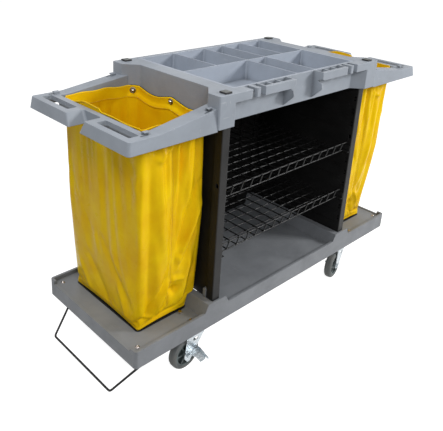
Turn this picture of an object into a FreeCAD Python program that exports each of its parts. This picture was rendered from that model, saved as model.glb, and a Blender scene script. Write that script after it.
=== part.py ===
"""Housekeeping cart: moulded base tray, stacked side panels, moulded top with tool rail and
lift-out tray, two drop frames that carry nylon bags, wire shelves, fold-out wire stirrup and
four swivel casters.

Frame: +Z up, X along the length (+X to the user's right), Y towards the rear, origin on the
floor under the middle of the cart.  All sizes in millimetres.
"""
import FreeCAD, Part
import math
import os
from FreeCAD import Vector as V

# ---------------------------------------------------------------- driving dimensions
# base tray
BASE_LENGTH = 1500.0          # outside length of the moulded base
BASE_DEPTH = 532.0            # outside depth of the moulded base
SKIRT_BOTTOM = 165.0          # underside of the skirt above the floor
SKIRT_HEIGHT = 67.0           # skirt bottom to rim top
DECK_DROP = 16.0              # rim top down to the deck
END_LIP = 3.0                 # low lip above the deck at each end
RIM_WIDTH = 10.0
CORNER_BLOCK = 30.0           # length of full-height rim kept at each corner
BASE_CORNER_R = 12.0
MOULD_WALL = 4.0              # wall of all grey mouldings
UNDER_RIB_GAP = 15.0          # underside ribs stay this far above the skirt's edge
LONG_RIB_Y = (-130.0, 0.0, 130.0)
CROSS_RIB_X = (0.0, 150.0, 300.0, 560.0, 690.0)
RIDGE_RISE = 30.0             # ridge top above the rim
RIDGE_INNER_X = 343.0         # ridge top edge on the bay side
RIDGE_DRAFT = 24.0            # how far the bay side leans out to its foot
RIDGE_OUTER_X = 430.0         # ridge top edge on the bag side
RIDGE_RAMP = 22.0             # run of the sloped bag side
TAB_WIDTH = 15.0              # locating tabs on the ridges, outside the side panels
TAB_RISE = 36.0
TAB_THICK = 10.5
SCREW_IN_X = 34.0             # deck screws in from the ends and the long sides
SCREW_IN_Y = 35.0

# side panels
PANEL_INNER_X = 370.0         # bay-side face of the side panels
PANEL_THICK = 35.0
PANEL_INSET = 8.0             # side panels in from the base's long sides
PANEL_SEAT = 6.0              # depth of the panel socket in the ridge
LOW_SEAM_Z = 464.0            # seams between the stacked modules
HIGH_SEAM_Z = 680.0
PANEL_WALL = 3.0
PILASTER = 32.0               # full-thickness column at each vertical edge
PANEL_RELIEF = 8.0            # outer face set back between the columns
SLOT_FIRST_Z = 331.0
SLOT_PITCH = 54.0
SLOT_COUNT = 11
OVAL_SLOT = 7                 # this slot number is a through-hole instead of a pair
OVAL_R = 6.0
SLOT_WIDTH = 12.0
SLOT_HEIGHT = 5.0
SLOT_PAIR = 13.0
SLOT_INSET = 11.0             # front slot column in from the panel's edge
SLOT_REAR_INSET = 27.0        # rear slot column, clear of the rear panel
REAR_PANEL_THICK = 12.0
REAR_SEAT = 1.5               # step along the deck's rear edge that the rear panel stands on
REAR_RIB_WIDTH = 24.0
REAR_RIB_X = 265.0

# top moulding
TOP_Z = 1028.0                # upper surface of the top moulding
TOP_HEIGHT = 108.0
TOP_HALF = 446.0              # centre to the ends of the corner blocks
TOP_DEPTH = 556.0
BLOCK_RUN = 70.0              # corner block, from its end to the bay-side start of its 45 degree chamfer
BLOCK_END_Y = 225.0           # centre to the flat end face of a corner block
RECESS_Y = 175.0              # half width of the flat end wall between the blocks
END_RECESS = 48.0             # end wall set back between the corner blocks
TOOL_RECESS = 43.0            # front wall behind the tool rail
RAIL_HEIGHT = 30.0
RAIL_THICK = 12.0
SLOT_A = (236.0, 258.0)       # handle slots in the tool rail, distances from the centre
SLOT_B = (277.0, 299.0)
HOOK_X = 85.0                 # hook plates beside the middle pocket
HOOK_THICK = 6.0
HOOK_MOUTH = 16.0
CAP_SIZE = 30.0
CAP_LIFT = 5.0
CAP_RIM = 2.5
CAP_SHANK = 20.0              # side of the square shank of a cap
CAP_FROM_END = 46.0           # cap centres in from the ends and the long sides
CAP_FROM_SIDE = 23.0

END_GUSSET_Y = 120.0          # gussets under the deck beside the tray
GUSSET_GAP = 6.0

# tray insert
TRAY_HALF = 344.0
TRAY_FRONT = -233.0
TRAY_REAR = 264.0
TRAY_DEPTH = 76.0
TRAY_FLANGE = 3.0
TRAY_LAP = 8.0                # flange overlap on the ledge of the opening
TRAY_LEDGE = 4.0              # thickening under the deck round the opening
TRAY_WALL = 4.0
TRAY_DRAFT = 5.0
TRAY_GAP = 1.0                # running gap of the insert in its opening
TRAY_CROSS = (-8.0, 98.0)     # cross dividers through both rows
TRAY_REAR_CROSS = (-172.0, 206.0)

# drop frames
FRAME_TIP = 786.0             # centre to the handle tips at the lower edge
FRAME_DEPTH = 550.0
FRAME_UNDER_DROP = 5.0        # lower edge below the underside of the top moulding
FRAME_TIP_DROP = 73.0         # top of the end bar, below the top surface
FRAME_ROOT_DROP = 43.0        # top of the arms at the corner blocks, below the top surface
FRAME_FLAT = 30.0             # level run of the arms inside the end bar
FRAME_DRAFT = 0.145           # inward lean of the outer walls, per unit of height
FRAME_CORNER_R = 10.0
ARM_TIP = 53.0                # arm width at the end bar
ARM_ROOT = 67.0               # arm width at the corner block
END_BAR_INNER = 698.0
END_BAR_OUTER = 718.0
HANDLE_NOTCH = 30.0           # half gap between the two handles at the lower edge
NOTCH_LEAN = 0.5              # spread of the gap per unit of height
SLOT_X = (722.0, 757.0)       # hand slots
SLOT_Y = (79.0, 240.0)
SLOT_LIP = 16.0               # depth of the lip round a hand slot
LUG_FROM_BAR = 4.0            # tip hooks outside the end bar's inner edge
LUG_FROM_BLOCK = 20.0         # root hooks out from the corner blocks
LUG_SLOT_SHIFT = (10.0, 9.5)  # slots beside the hooks, further out than these
LUG_SLOT_Y = (248.5, 257.0)
LUG_SLOT_LENGTH = 28.0
LUG_SLOT_WIDTH = 6.0
LUG_LENGTH = 20.0
LUG_WALL = 5.0
LUG_HEIGHT = 9.5
LUG_THICK = 3.5
LUG_OVER = 9.0

# bags
BAG_OUT_X = 695.0             # outer wall at the rim and at mid height
BAG_WALL_GAP = 4.0            # cloth clear of the end wall, and of the side panel
BAG_HANG = 7.0                # cloth below the end wall hangs this much further out than the rim
BAG_RIM_Y = (204.0, 209.0)    # half depth at the rim, inner and outer corners
BAG_MID_Y = (199.0, 205.0)
BAG_FOOT_Y = (184.0, 187.0)
BAG_FOOT_SHIFT = 13.0         # the foot stands this far to the rear
BAG_FOOT_OUT = 671.0
BAG_RIDGE_GAP = 2.5           # cloth clear of the ridge that it drapes over
BAG_RIM_DROP = 77.0           # rim below the top surface
BAG_CLOTH = 2.5
BAG_R = 34.0                  # outer corners
BAG_FOOT_R = 14.0
BOARD_THICK = 4.0
BOARD_LAP = 3.0
STUD_MID_DROP = 91.0          # stud in the flat of the end wall, below the top surface
STUD_SIDE_DROP = 94.0         # studs in the two 45 degree faces
STUD_R = 6.3
EYELET_R = 11.3
EYELET_HOLE = 7.0

# shelves
WIRE_R = 2.5
SHELF_PITCH = 50.0
SHELF_WIRES = 14              # wires that run front to back
LONG_WIRES = 11
SHELF_REAR_GAP = 10.0         # shelf's wires to the rear panel
SHELF_WIRE_IN = 4.0           # outermost long wires in from the ends of the cross wires
SHELF_LOW = 10.0              # underside of the long wires below the slot pair
SHELF_SIDE = 5.0              # wire ends to the side panels
LIP_RISE = 31.0
LIP_FLARE = 10.0
SHELF_SLOTS = (2, 6)          # slot numbers that carry the shelves
CLIP_LEDGE = 13.0
CLIP_THICK = 2.5
CLIP_WIDTH = 34.0
CLIP_OFFSET = 8.0             # ledge reaches this much further to the middle than the slots

# stirrup
STIRRUP_R = 4.0
STIRRUP_PIVOT_X = 655.0
STIRRUP_PIVOT_Z = 152.0
STIRRUP_DROP = 114.0
STIRRUP_REACH = 135.0
STIRRUP_FOOT_Y = 178.0
STIRRUP_PIVOT_Y = 238.0
STIRRUP_BEND = 12.0

# casters
WHEEL_D = 125.0
TYRE_WIDTH = 32.0
RIM_D = 94.0
HUB_SPOKES = 6
CASTER_X = 456.0
CASTER_Y = 216.0
TRAIL = 38.0
PLATE_TOP = 165.0
PLATE_THICK = 4.0
PLATE_LENGTH = 102.0
PLATE_WIDTH = 84.0
BOLT_DX = 36.0
BOLT_DY = 29.0
BOLT_R = 4.0
HEAD_ACROSS = 13.0
HEAD_HEIGHT = 5.0
RACE_DROP = 12.0              # plate underside to the fork's crown
RACE_R = 31.0
FORK_THICK = 3.0
FORK_GAP = 4.0                # tyre to fork leg
FORK_BACK = 40.0              # legs behind and ahead of the kingpin at the crown
FORK_FRONT = 42.0
KINGPIN_R = 5.0
AXLE_R = 4.0
BRAKE_THICK = 3.0
BRAKE_WIDTH = 54.0
SWIVEL_ANGLE = {"front_left": 0.0, "front_right": 13.0, "rear_left": -6.0, "rear_right": 8.0}
BRAKED = ("front_left", "rear_left")

# clearances
RUN_FIT = 0.05                # radial, shaft in bore
FREE_GAP = 0.35               # moving faces that pass each other
SEAT_GAP = 0.02               # wires laid on wires
REST_GAP = 0.3                # piece resting on its seat
CLIP_FIT = 0.2

# ---------------------------------------------------------------- derived heights
RIM_TOP = SKIRT_BOTTOM + SKIRT_HEIGHT
DECK = RIM_TOP - DECK_DROP
RIDGE_TOP = RIM_TOP + RIDGE_RISE
PANEL_BOTTOM = RIDGE_TOP - PANEL_SEAT
TOP_UNDER = TOP_Z - TOP_HEIGHT
HALF_L = BASE_LENGTH / 2
HALF_D = BASE_DEPTH / 2
PANEL_OUT_X = PANEL_INNER_X + PANEL_THICK
PANEL_HALF_Y = HALF_D - PANEL_INSET
TOP_HALF_Y = TOP_DEPTH / 2
FRAME_HALF_Y = FRAME_DEPTH / 2
WHEEL_R = WHEEL_D / 2
WALL_X = TOP_HALF - END_RECESS
BLOCK_INNER_X = TOP_HALF - BLOCK_RUN
WALL_Y = TOP_HALF_Y - TOOL_RECESS
FRAME_BOTTOM = TOP_UNDER - FRAME_UNDER_DROP
FRAME_TIP_TOP = TOP_Z - FRAME_TIP_DROP
FRAME_ROOT_TOP = TOP_Z - FRAME_ROOT_DROP
LUG_X = (END_BAR_INNER + LUG_FROM_BAR, TOP_HALF + LUG_FROM_BLOCK)
LUG_SLOT_X = tuple(x + shift for x, shift in zip(LUG_X, LUG_SLOT_SHIFT))
BAG_RIM_X = WALL_X + BAG_WALL_GAP
BAG_IN_X = max(PANEL_OUT_X + BAG_WALL_GAP, BAG_RIM_X + BAG_HANG)
BAG_RIM_Z = TOP_Z - BAG_RIM_DROP
STUD_MID_Z = TOP_Z - STUD_MID_DROP
STUD_SIDE_Z = TOP_Z - STUD_SIDE_DROP
SHELF_FRONT = PANEL_HALF_Y - REAR_PANEL_THICK - SHELF_REAR_GAP
SHELF_SPAN = SHELF_FRONT - SHELF_WIRE_IN
PLATE_UNDER = PLATE_TOP - PLATE_THICK
CROWN_TOP = PLATE_UNDER - RACE_DROP
LEG_IN = TYRE_WIDTH / 2 + FORK_GAP
LEG_OUT = LEG_IN + FORK_THICK
FORK_TOP = CROWN_TOP - 7.0


# ---------------------------------------------------------------- helpers
def box(x0, x1, y0, y1, z0, z1):
    """Box between two corners given as ranges."""
    return Part.makeBox(x1 - x0, y1 - y0, z1 - z0, V(x0, y0, z0))


def face_of(points):
    """Planar face of a closed polygon."""
    return Part.Face(Part.makePolygon([V(*p) for p in points] + [V(*points[0])]))


def prism_xy(points, z0, z1):
    """Plan outline pulled up from z0 to z1."""
    return face_of([(x, y, z0) for x, y in points]).extrude(V(0, 0, z1 - z0))


def prism_xz(points, y0, y1):
    """Front outline pulled back from y0 to y1."""
    return face_of([(x, y0, z) for x, z in points]).extrude(V(0, y1 - y0, 0))


def prism_yz(points, x0, x1):
    """Side outline pulled along X."""
    return face_of([(x0, y, z) for y, z in points]).extrude(V(x1 - x0, 0, 0))


def round_rect(x0, x1, y0, y1, radius, z):
    """Closed wire of a rectangle with round corners at height z."""
    r = min(radius, 0.49 * (x1 - x0), 0.49 * (y1 - y0))
    k = r * (1 - math.sqrt(0.5))
    e = [Part.LineSegment(V(x0 + r, y0, z), V(x1 - r, y0, z)),
         Part.Arc(V(x1 - r, y0, z), V(x1 - k, y0 + k, z), V(x1, y0 + r, z)),
         Part.LineSegment(V(x1, y0 + r, z), V(x1, y1 - r, z)),
         Part.Arc(V(x1, y1 - r, z), V(x1 - k, y1 - k, z), V(x1 - r, y1, z)),
         Part.LineSegment(V(x1 - r, y1, z), V(x0 + r, y1, z)),
         Part.Arc(V(x0 + r, y1, z), V(x0 + k, y1 - k, z), V(x0, y1 - r, z)),
         Part.LineSegment(V(x0, y1 - r, z), V(x0, y0 + r, z)),
         Part.Arc(V(x0, y0 + r, z), V(x0 + k, y0 + k, z), V(x0 + r, y0, z))]
    return Part.Wire([s.toShape() for s in e])


def round_poly(corners, z):
    """Closed wire of a polygon at height z; each corner is (x, y, radius)."""
    n = len(corners)
    runs = []
    for i, (x, y, r) in enumerate(corners):
        b = V(x, y, z)
        a, c = V(corners[i - 1][0], corners[i - 1][1], z), V(corners[(i + 1) % n][0], corners[(i + 1) % n][1], z)
        u, w = (a - b).normalize(), (c - b).normalize()
        half = u.getAngle(w) / 2
        if r <= 0:
            runs.append((b, None, b))
            continue
        centre = b + (u + w).normalize() * (r / math.sin(half))
        runs.append((b + u * (r / math.tan(half)), centre + (b - centre).normalize() * r,
                     b + w * (r / math.tan(half))))
    edges = []
    for i, (p, mid, q) in enumerate(runs):
        if mid is not None:
            edges.append(Part.Arc(p, mid, q).toShape())
        edges.append(Part.LineSegment(q, runs[(i + 1) % n][0]).toShape())
    return Part.Wire(edges)


def slab(x0, x1, y0, y1, z0, z1, radius):
    """Round-cornered block."""
    return Part.Face(round_rect(x0, x1, y0, y1, radius, z0)).extrude(V(0, 0, z1 - z0))


def cyl(centre, axis, radius, length):
    """Cylinder from centre along axis."""
    return Part.makeCylinder(radius, length, V(*centre), V(*axis))


def revolve(profile):
    """Turn a closed (radius, height) outline about the Z axis."""
    return face_of([(r, 0, z) for r, z in profile]).revolve(V(0, 0, 0), V(0, 0, 1), 360)


def hexagon(centre, axis, across, height):
    """Hexagonal prism with its given width across flats."""
    r = across / math.sqrt(3)
    pts = [V(r * math.cos(math.radians(60 * i)), r * math.sin(math.radians(60 * i)), 0) for i in range(7)]
    solid = Part.Face(Part.makePolygon(pts)).extrude(V(0, 0, height))
    solid.Placement = FreeCAD.Placement(V(*centre), FreeCAD.Rotation(V(0, 0, 1), V(*axis)))
    return solid


def rod(points, radius, bend=0.0):
    """Round bar along straight runs, with bends of the given centre-line radius."""
    pts = [V(*p) for p in points]
    edges, start = [], pts[0]
    for i in range(1, len(pts) - 1):
        a, b, c = pts[i - 1], pts[i], pts[i + 1]
        u, w = (a - b).normalize(), (c - b).normalize()
        half = u.getAngle(w) / 2
        if bend <= 0 or abs(half - math.pi / 2) < 1e-6:
            edges.append(Part.LineSegment(start, b).toShape())
            start = b
            continue
        t = bend / math.tan(half)
        p, q = b + u * t, b + w * t
        centre = b + (u + w).normalize() * (bend / math.sin(half))
        mid = centre + (b - centre).normalize() * bend
        edges += [Part.LineSegment(start, p).toShape(), Part.Arc(p, mid, q).toShape()]
        start = q
    edges.append(Part.LineSegment(start, pts[-1]).toShape())
    path = Part.Wire(edges)
    ring = Part.Wire(Part.makeCircle(radius, pts[0], pts[1] - pts[0]))
    return path.makePipeShell([ring], True, True, 1 if bend <= 0 else 0)


def flip_x(shape):
    """Mirror image across the middle of the cart's length."""
    return shape.mirror(V(0, 0, 0), V(1, 0, 0))


def flip_y(shape):
    """Mirror image across the middle of the cart's depth."""
    return shape.mirror(V(0, 0, 0), V(0, 1, 0))


def fuse(shapes):
    """One solid from overlapping or touching shapes."""
    out = shapes[0].multiFuse(shapes[1:]) if len(shapes) > 1 else shapes[0]
    return out.removeSplitter()


def cut(shape, tools):
    """Shape with every tool taken away."""
    return shape.cut(Part.makeCompound(tools)) if tools else shape


def solids(shapes):
    """Group of separate solids in one shape."""
    out = []
    for s in shapes:
        out += s.Solids
    return Part.makeCompound(out)


def soften(shape, radius, pick):
    """Round the edges that pick() accepts."""
    edges = [e for e in shape.Edges if pick(e)]
    return shape.makeFillet(radius, edges) if edges else shape


def vertical(edge):
    """True for a straight edge along Z."""
    a, b = edge.Vertexes[0].Point, edge.Vertexes[-1].Point
    return math.hypot(a.x - b.x, a.y - b.y) < 1e-6 and abs(a.z - b.z) > 1e-6


def at_height(edge, z):
    """True for an edge that lies in the plane of height z."""
    return all(abs(v.Point.z - z) < 1e-6 for v in edge.Vertexes)


NODES = {}


def keep(name, shape):
    """Store one node of the cart."""
    NODES[name] = shape


# ---------------------------------------------------------------- base tray
def ridge_profile(inset, z_foot):
    """Cross-section of the left ridge, inset from its outer skin."""
    rise = RIDGE_TOP - DECK
    drop = DECK - z_foot
    ramp = RIDGE_RAMP * (1 + drop / rise)
    draft = RIDGE_DRAFT * (1 + drop / rise)
    return [(-RIDGE_OUTER_X - ramp + inset, z_foot), (-RIDGE_OUTER_X + inset, RIDGE_TOP - inset),
            (-RIDGE_INNER_X - inset, RIDGE_TOP - inset), (-RIDGE_INNER_X + draft - inset, z_foot)]


def caster_bolt_points():
    """Centres of all caster bolts with the height of each head's seat."""
    out = []
    covered = BAG_FOOT_SHIFT - BAG_FOOT_Y[1] - BOARD_LAP
    for sx in (-1, 1):
        for sy in (-1, 1):
            for dx in (-1, 1):
                for dy in (-1, 1):
                    x, y = CASTER_X + dx * BOLT_DX, sy * (CASTER_Y + dy * BOLT_DY)
                    seat = DECK
                    if x < RIDGE_OUTER_X:
                        seat = DECK - MOULD_WALL + 0.5
                    elif covered < y - HEAD_ACROSS / 2 and y < 2 * BAG_FOOT_SHIFT - covered + HEAD_ACROSS:
                        seat = DECK - HEAD_HEIGHT - 0.5
                    out.append((sx * x, y, seat))
    return out


def base_platform():
    """Moulded base: skirt, three deck wells, two panel ridges, hollow ribbed underside."""
    low = SKIRT_BOTTOM
    m = MOULD_WALL
    body = slab(-HALF_L, HALF_L, -HALF_D, HALF_D, low, RIM_TOP, BASE_CORNER_R)
    foot_out = RIDGE_OUTER_X + RIDGE_RAMP
    foot_in = RIDGE_INNER_X - RIDGE_DRAFT
    in_y = HALF_D - RIM_WIDTH
    in_r = max(BASE_CORNER_R - RIM_WIDTH, 1.0)
    wells = []
    for s in (-1, 1):
        a, b = sorted((s * (HALF_L - RIM_WIDTH), s * (foot_out - 20)))
        wells.append(slab(a, b, -in_y, in_y, DECK, RIM_TOP + 1, in_r))
        a, b = sorted((s * (HALF_L + 1), s * (HALF_L - RIM_WIDTH - 1)))
        reach = HALF_D - CORNER_BLOCK
        wells.append(box(a, b, -reach, reach, DECK + END_LIP, RIM_TOP + 1))
    wells.append(box(-foot_in - 20, foot_in + 20, -in_y, HALF_D + 1, DECK, RIM_TOP + 1))
    body = cut(body, wells)
    ridge = prism_xz(ridge_profile(0.0, DECK - 2), -HALF_D, HALF_D)
    ridge = soften(ridge, 4.0, lambda e: at_height(e, RIDGE_TOP) and abs(e.Vertexes[0].Point.y
                   - e.Vertexes[-1].Point.y) > 10)
    body = fuse([body, ridge, flip_x(ridge)])
    # hollow underside below the decks and inside the ridges
    hollow = slab(-HALF_L + m, HALF_L - m, -HALF_D + m, HALF_D - m, low - 1, DECK - m, BASE_CORNER_R - m)
    nook = prism_xz(ridge_profile(m, DECK - m - 2), -HALF_D + m, HALF_D - m)
    body = cut(body, [hollow, nook, flip_x(nook)])
    # ribs, caster pads and stirrup bosses
    rib_z = low + UNDER_RIB_GAP
    ribs = [box(-HALF_L + 1, HALF_L - 1, y - m / 2, y + m / 2, rib_z, DECK - MOULD_WALL + 0.5)
            for y in LONG_RIB_Y]
    for x in CROSS_RIB_X:
        for s in ((-1, 1) if x else (1,)):
            ribs.append(box(s * x - m / 2, s * x + m / 2, -HALF_D + 1, HALF_D - 1, rib_z, DECK - m + 0.5))
    pad_x, pad_y = PLATE_LENGTH / 2 + 6, PLATE_WIDTH / 2 + 3
    pads = [slab(sx * CASTER_X - pad_x, sx * CASTER_X + pad_x, sy * CASTER_Y - pad_y,
                 sy * CASTER_Y + pad_y, PLATE_TOP, DECK - m + 0.5, 8)
            for sx in (-1, 1) for sy in (-1, 1)]
    boss = [slab(-STIRRUP_PIVOT_X - 22, -STIRRUP_PIVOT_X + 22, s * STIRRUP_PIVOT_Y - 26,
                 s * STIRRUP_PIVOT_Y + 10, PLATE_TOP, DECK - 1, 4) for s in (-1, 1)]
    body = fuse([body] + ribs + pads + boss)
    # panel sockets and bolt holes
    tools = []
    for s in (-1, 1):
        a, b = sorted((s * (PANEL_INNER_X - CLIP_FIT), s * (PANEL_OUT_X + CLIP_FIT)))
        tools.append(box(a, b, -PANEL_HALF_Y - CLIP_FIT, PANEL_HALF_Y + CLIP_FIT, PANEL_BOTTOM, RIDGE_TOP + 1))
    # the rear panel stands on a shallow step between the ridges
    tools.append(box(-foot_in, foot_in, PANEL_HALF_Y - REAR_PANEL_THICK - CLIP_FIT, HALF_D + 1,
                     DECK - REAR_SEAT, DECK + 1))
    for x, y, seat in caster_bolt_points():
        tools.append(cyl((x, y, low - 1), (0, 0, 1), BOLT_R, DECK - low + 2))
        if seat < DECK and abs(x) > RIDGE_OUTER_X:
            tools.append(cyl((x, y, seat), (0, 0, 1), HEAD_ACROSS / 2 + 3, DECK - seat + 1))
    body = cut(body, tools)
    # locating tabs stand in the outer recess of the panels
    tabs = []
    face = PANEL_OUT_X - PANEL_RELIEF + CLIP_FIT
    top = RIDGE_TOP + TAB_RISE
    edge = PANEL_HALF_Y - PILASTER - CLIP_FIT
    for s in (-1, 1):
        for y in (-edge, edge - TAB_WIDTH):
            tab = prism_yz([(y, PANEL_BOTTOM + 1), (y + TAB_WIDTH, PANEL_BOTTOM + 1), (y + TAB_WIDTH, top - 4),
                            (y + TAB_WIDTH - 3, top), (y + 3, top), (y, top - 4)], face, face + TAB_THICK)
            root = prism_yz([(y, DECK + 20), (y + TAB_WIDTH, DECK + 20), (y + TAB_WIDTH, RIDGE_TOP + 1),
                             (y, RIDGE_TOP + 1)], PANEL_OUT_X + CLIP_FIT + 0.05, face + TAB_THICK)
            tabs += [t if s > 0 else flip_x(t) for t in (tab, root)]
    return fuse([body] + tabs)


# ---------------------------------------------------------------- side and rear panels
def slot_heights():
    """Heights of all slot pairs in a side panel."""
    return [SLOT_FIRST_Z + i * SLOT_PITCH for i in range(SLOT_COUNT)]


def slot_columns():
    """Y of the front and the rear slot columns."""
    return -PANEL_HALF_Y + SLOT_INSET, PANEL_HALF_Y - SLOT_REAR_INSET


def side_module(z0, z1):
    """One stacked module of the left side panel, a hollow double wall."""
    t = PANEL_WALL
    body = box(-PANEL_OUT_X, -PANEL_INNER_X, -PANEL_HALF_Y, PANEL_HALF_Y, z0, z1)
    body = soften(body, 3.0, lambda e: vertical(e))
    relief_y = PANEL_HALF_Y - PILASTER
    tools = [box(-PANEL_OUT_X - 1, -PANEL_OUT_X + PANEL_RELIEF, -relief_y, relief_y, z0 - 1, z1 + 1)]
    for s in (-1, 1):
        a, b = sorted((s * (PANEL_HALF_Y - t), s * (relief_y + t)))
        tools.append(box(-PANEL_OUT_X + t, -PANEL_INNER_X - t, a, b, z0 - 1, z1 + 1))
    cell = (2 * relief_y - 2 * t) / 3
    for i in range(3):
        a = -relief_y + t + i * cell
        tools.append(box(-PANEL_OUT_X + PANEL_RELIEF + t, -PANEL_INNER_X - t, a + t / 2, a + cell - t / 2,
                         z0 - 1, z1 + 1))
    for i, z in enumerate(slot_heights()):
        if not z0 + 10 < z < z1 - 10:
            continue
        for y in slot_columns():
            if i == OVAL_SLOT:
                for dz in (-OVAL_R / 2, OVAL_R / 2):
                    tools.append(cyl((-PANEL_OUT_X - 1, y, z + dz), (1, 0, 0), OVAL_R, PANEL_THICK + 2))
                continue
            for dz in (-SLOT_PAIR / 2, SLOT_PAIR / 2):
                tools.append(box(-PANEL_INNER_X - t - 1, -PANEL_INNER_X + 1, y - SLOT_WIDTH / 2,
                                 y + SLOT_WIDTH / 2, z + dz - SLOT_HEIGHT / 2, z + dz + SLOT_HEIGHT / 2))
    body = cut(body, tools)
    ribs = []
    z = SLOT_FIRST_Z - SLOT_PITCH / 2
    while z < z1 - 6:
        if z > z0 + 6:
            ribs.append(box(-PANEL_INNER_X - 0.5, -PANEL_INNER_X + 1.5, -relief_y, relief_y, z - 2, z + 2))
        z += SLOT_PITCH
    return fuse([body] + ribs) if ribs else body


def rear_panel():
    """Rear wall of the bay with vertical columns and slotted strips."""
    half = PANEL_INNER_X - CLIP_FIT
    y1 = PANEL_HALF_Y
    y0 = y1 - REAR_PANEL_THICK
    t = PANEL_WALL
    z0, z1 = DECK - REAR_SEAT, TOP_UNDER
    sheet = box(-half, half, y1 - t, y1, z0, z1)
    parts = [sheet, box(-half, half, y0, y1, z0, z0 + 18), box(-half, half, y0, y1, z1 - 18, z1)]
    for x in (-half + REAR_RIB_WIDTH / 2, -REAR_RIB_X, 0.0, REAR_RIB_X, half - REAR_RIB_WIDTH / 2):
        parts.append(box(x - REAR_RIB_WIDTH / 2, x + REAR_RIB_WIDTH / 2, y0, y1, z0, z1))
    body = fuse(parts)
    # the ridges stand in front of the lower corners
    foot = RIDGE_INNER_X - RIDGE_DRAFT
    lean = RIDGE_DRAFT / (RIDGE_TOP - DECK)
    below = z0 - 1
    tools = []
    for s in (-1, 1):
        edge = [(s * (foot + lean * (z - DECK) - 2 * CLIP_FIT), z) for z in (below, RIDGE_TOP + CLIP_FIT)]
        pts = [edge[0], (s * (half + 5), below), (s * (half + 5), RIDGE_TOP + CLIP_FIT), edge[1]]
        tools.append(prism_xz(pts, y0 - 1, y1 + 1))
        for z in slot_heights()[:-1]:
            tools.append(box(s * REAR_RIB_X - 2.5, s * REAR_RIB_X + 2.5, y0 - 1, y0 + t, z - 6, z + 6))
        tools.append(cyl((s * (half - REAR_RIB_WIDTH / 2), y0 - 1, RIDGE_TOP + 14), (0, 1, 0), 3.5,
                         REAR_PANEL_THICK + 2))
    return cut(body, tools)


# ---------------------------------------------------------------- top moulding
def top_plan(inset):
    """Plan outline of the top moulding below its tool rail."""
    hx, hy = TOP_HALF - inset, TOP_HALF_Y - inset
    wx, wy = WALL_X - inset, WALL_Y - inset
    skew = math.tan(math.pi / 8) * inset
    by = BLOCK_END_Y + skew
    ry = RECESS_Y + skew
    bx = BLOCK_INNER_X + skew
    cx = bx - (hy - wy)
    left = [(-cx, -wy), (-bx, -hy), (-hx, -hy), (-hx, -by), (-wx, -ry), (-wx, ry), (-hx, by), (-hx, hy)]
    return left + [(-x, y) for x, y in reversed(left)]


def hook_plate(x0, x1):
    """Plate with an open mouth and a barb, between the front wall and the rail."""
    y_front = -TOP_HALF_Y
    y_wall = -WALL_Y + 1
    mouth = TOP_Z - RAIL_HEIGHT + 4
    pts = [(y_wall, TOP_UNDER + 4), (y_front + 2, TOP_UNDER + 44), (y_front, TOP_UNDER + 50),
           (y_front + 4, mouth - HOOK_MOUTH), (y_front + 14, mouth - HOOK_MOUTH + 3),
           (y_front + 20, mouth - HOOK_MOUTH / 2), (y_front + 14, mouth - 3), (y_front, mouth),
           (y_front, TOP_Z), (y_wall, TOP_Z)]
    return prism_yz(pts, x0, x1)


def tool_rail():
    """Left half of the rail in front of the wall: solid end, prong, strip and hook plate."""
    z0 = TOP_Z - RAIL_HEIGHT
    y0, y1 = -TOP_HALF_Y, -WALL_Y + 1
    m = MOULD_WALL
    solid = box(-TOP_HALF + 20, -SLOT_B[1], y0, y1, z0, TOP_Z)
    solid = solid.cut(box(-TOP_HALF + 20 - 1, -SLOT_B[1] - m, y0 + m, y1 + 1, z0 - 1, TOP_Z - m))
    prong = box(-SLOT_B[0], -SLOT_A[1], y0, y1, z0, TOP_Z)
    prong = soften(prong, 5.0, lambda e: vertical(e) and abs(e.Vertexes[0].Point.y - y0) < 1e-6)
    prong = prong.cut(prism_yz([(y0 + RAIL_THICK, z0 - 1), (y1 - 10, z0 - 1), (y1 - 10, TOP_Z - 12),
                                (y0 + RAIL_THICK, TOP_Z - 8)], -SLOT_B[0] - 1, -SLOT_A[1] + 1))
    strip = box(-SLOT_A[0], -HOOK_X + 0.5, y0, y0 + RAIL_THICK, z0, TOP_Z)
    strip = strip.cut(box(-SLOT_A[0] + m, -HOOK_X, y0 + m, y0 + RAIL_THICK - m, z0 - 1, TOP_Z - m))
    ends = [box(-SLOT_A[0], -SLOT_A[0] + 8, y0 + 1, y1, z0, TOP_Z)]
    mid = (SLOT_A[0] + HOOK_X) / 2
    for x in (-mid - 24, -mid + 24):
        web = prism_yz([(y0 + 1, TOP_Z - 14), (y1, TOP_Z - 26), (y1, TOP_Z - 2), (y0 + 1, TOP_Z - 2)], x - 3, x + 3)
        ends.append(web)
    return [solid, prong, strip, hook_plate(-HOOK_X, -HOOK_X + HOOK_THICK)] + ends


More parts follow.
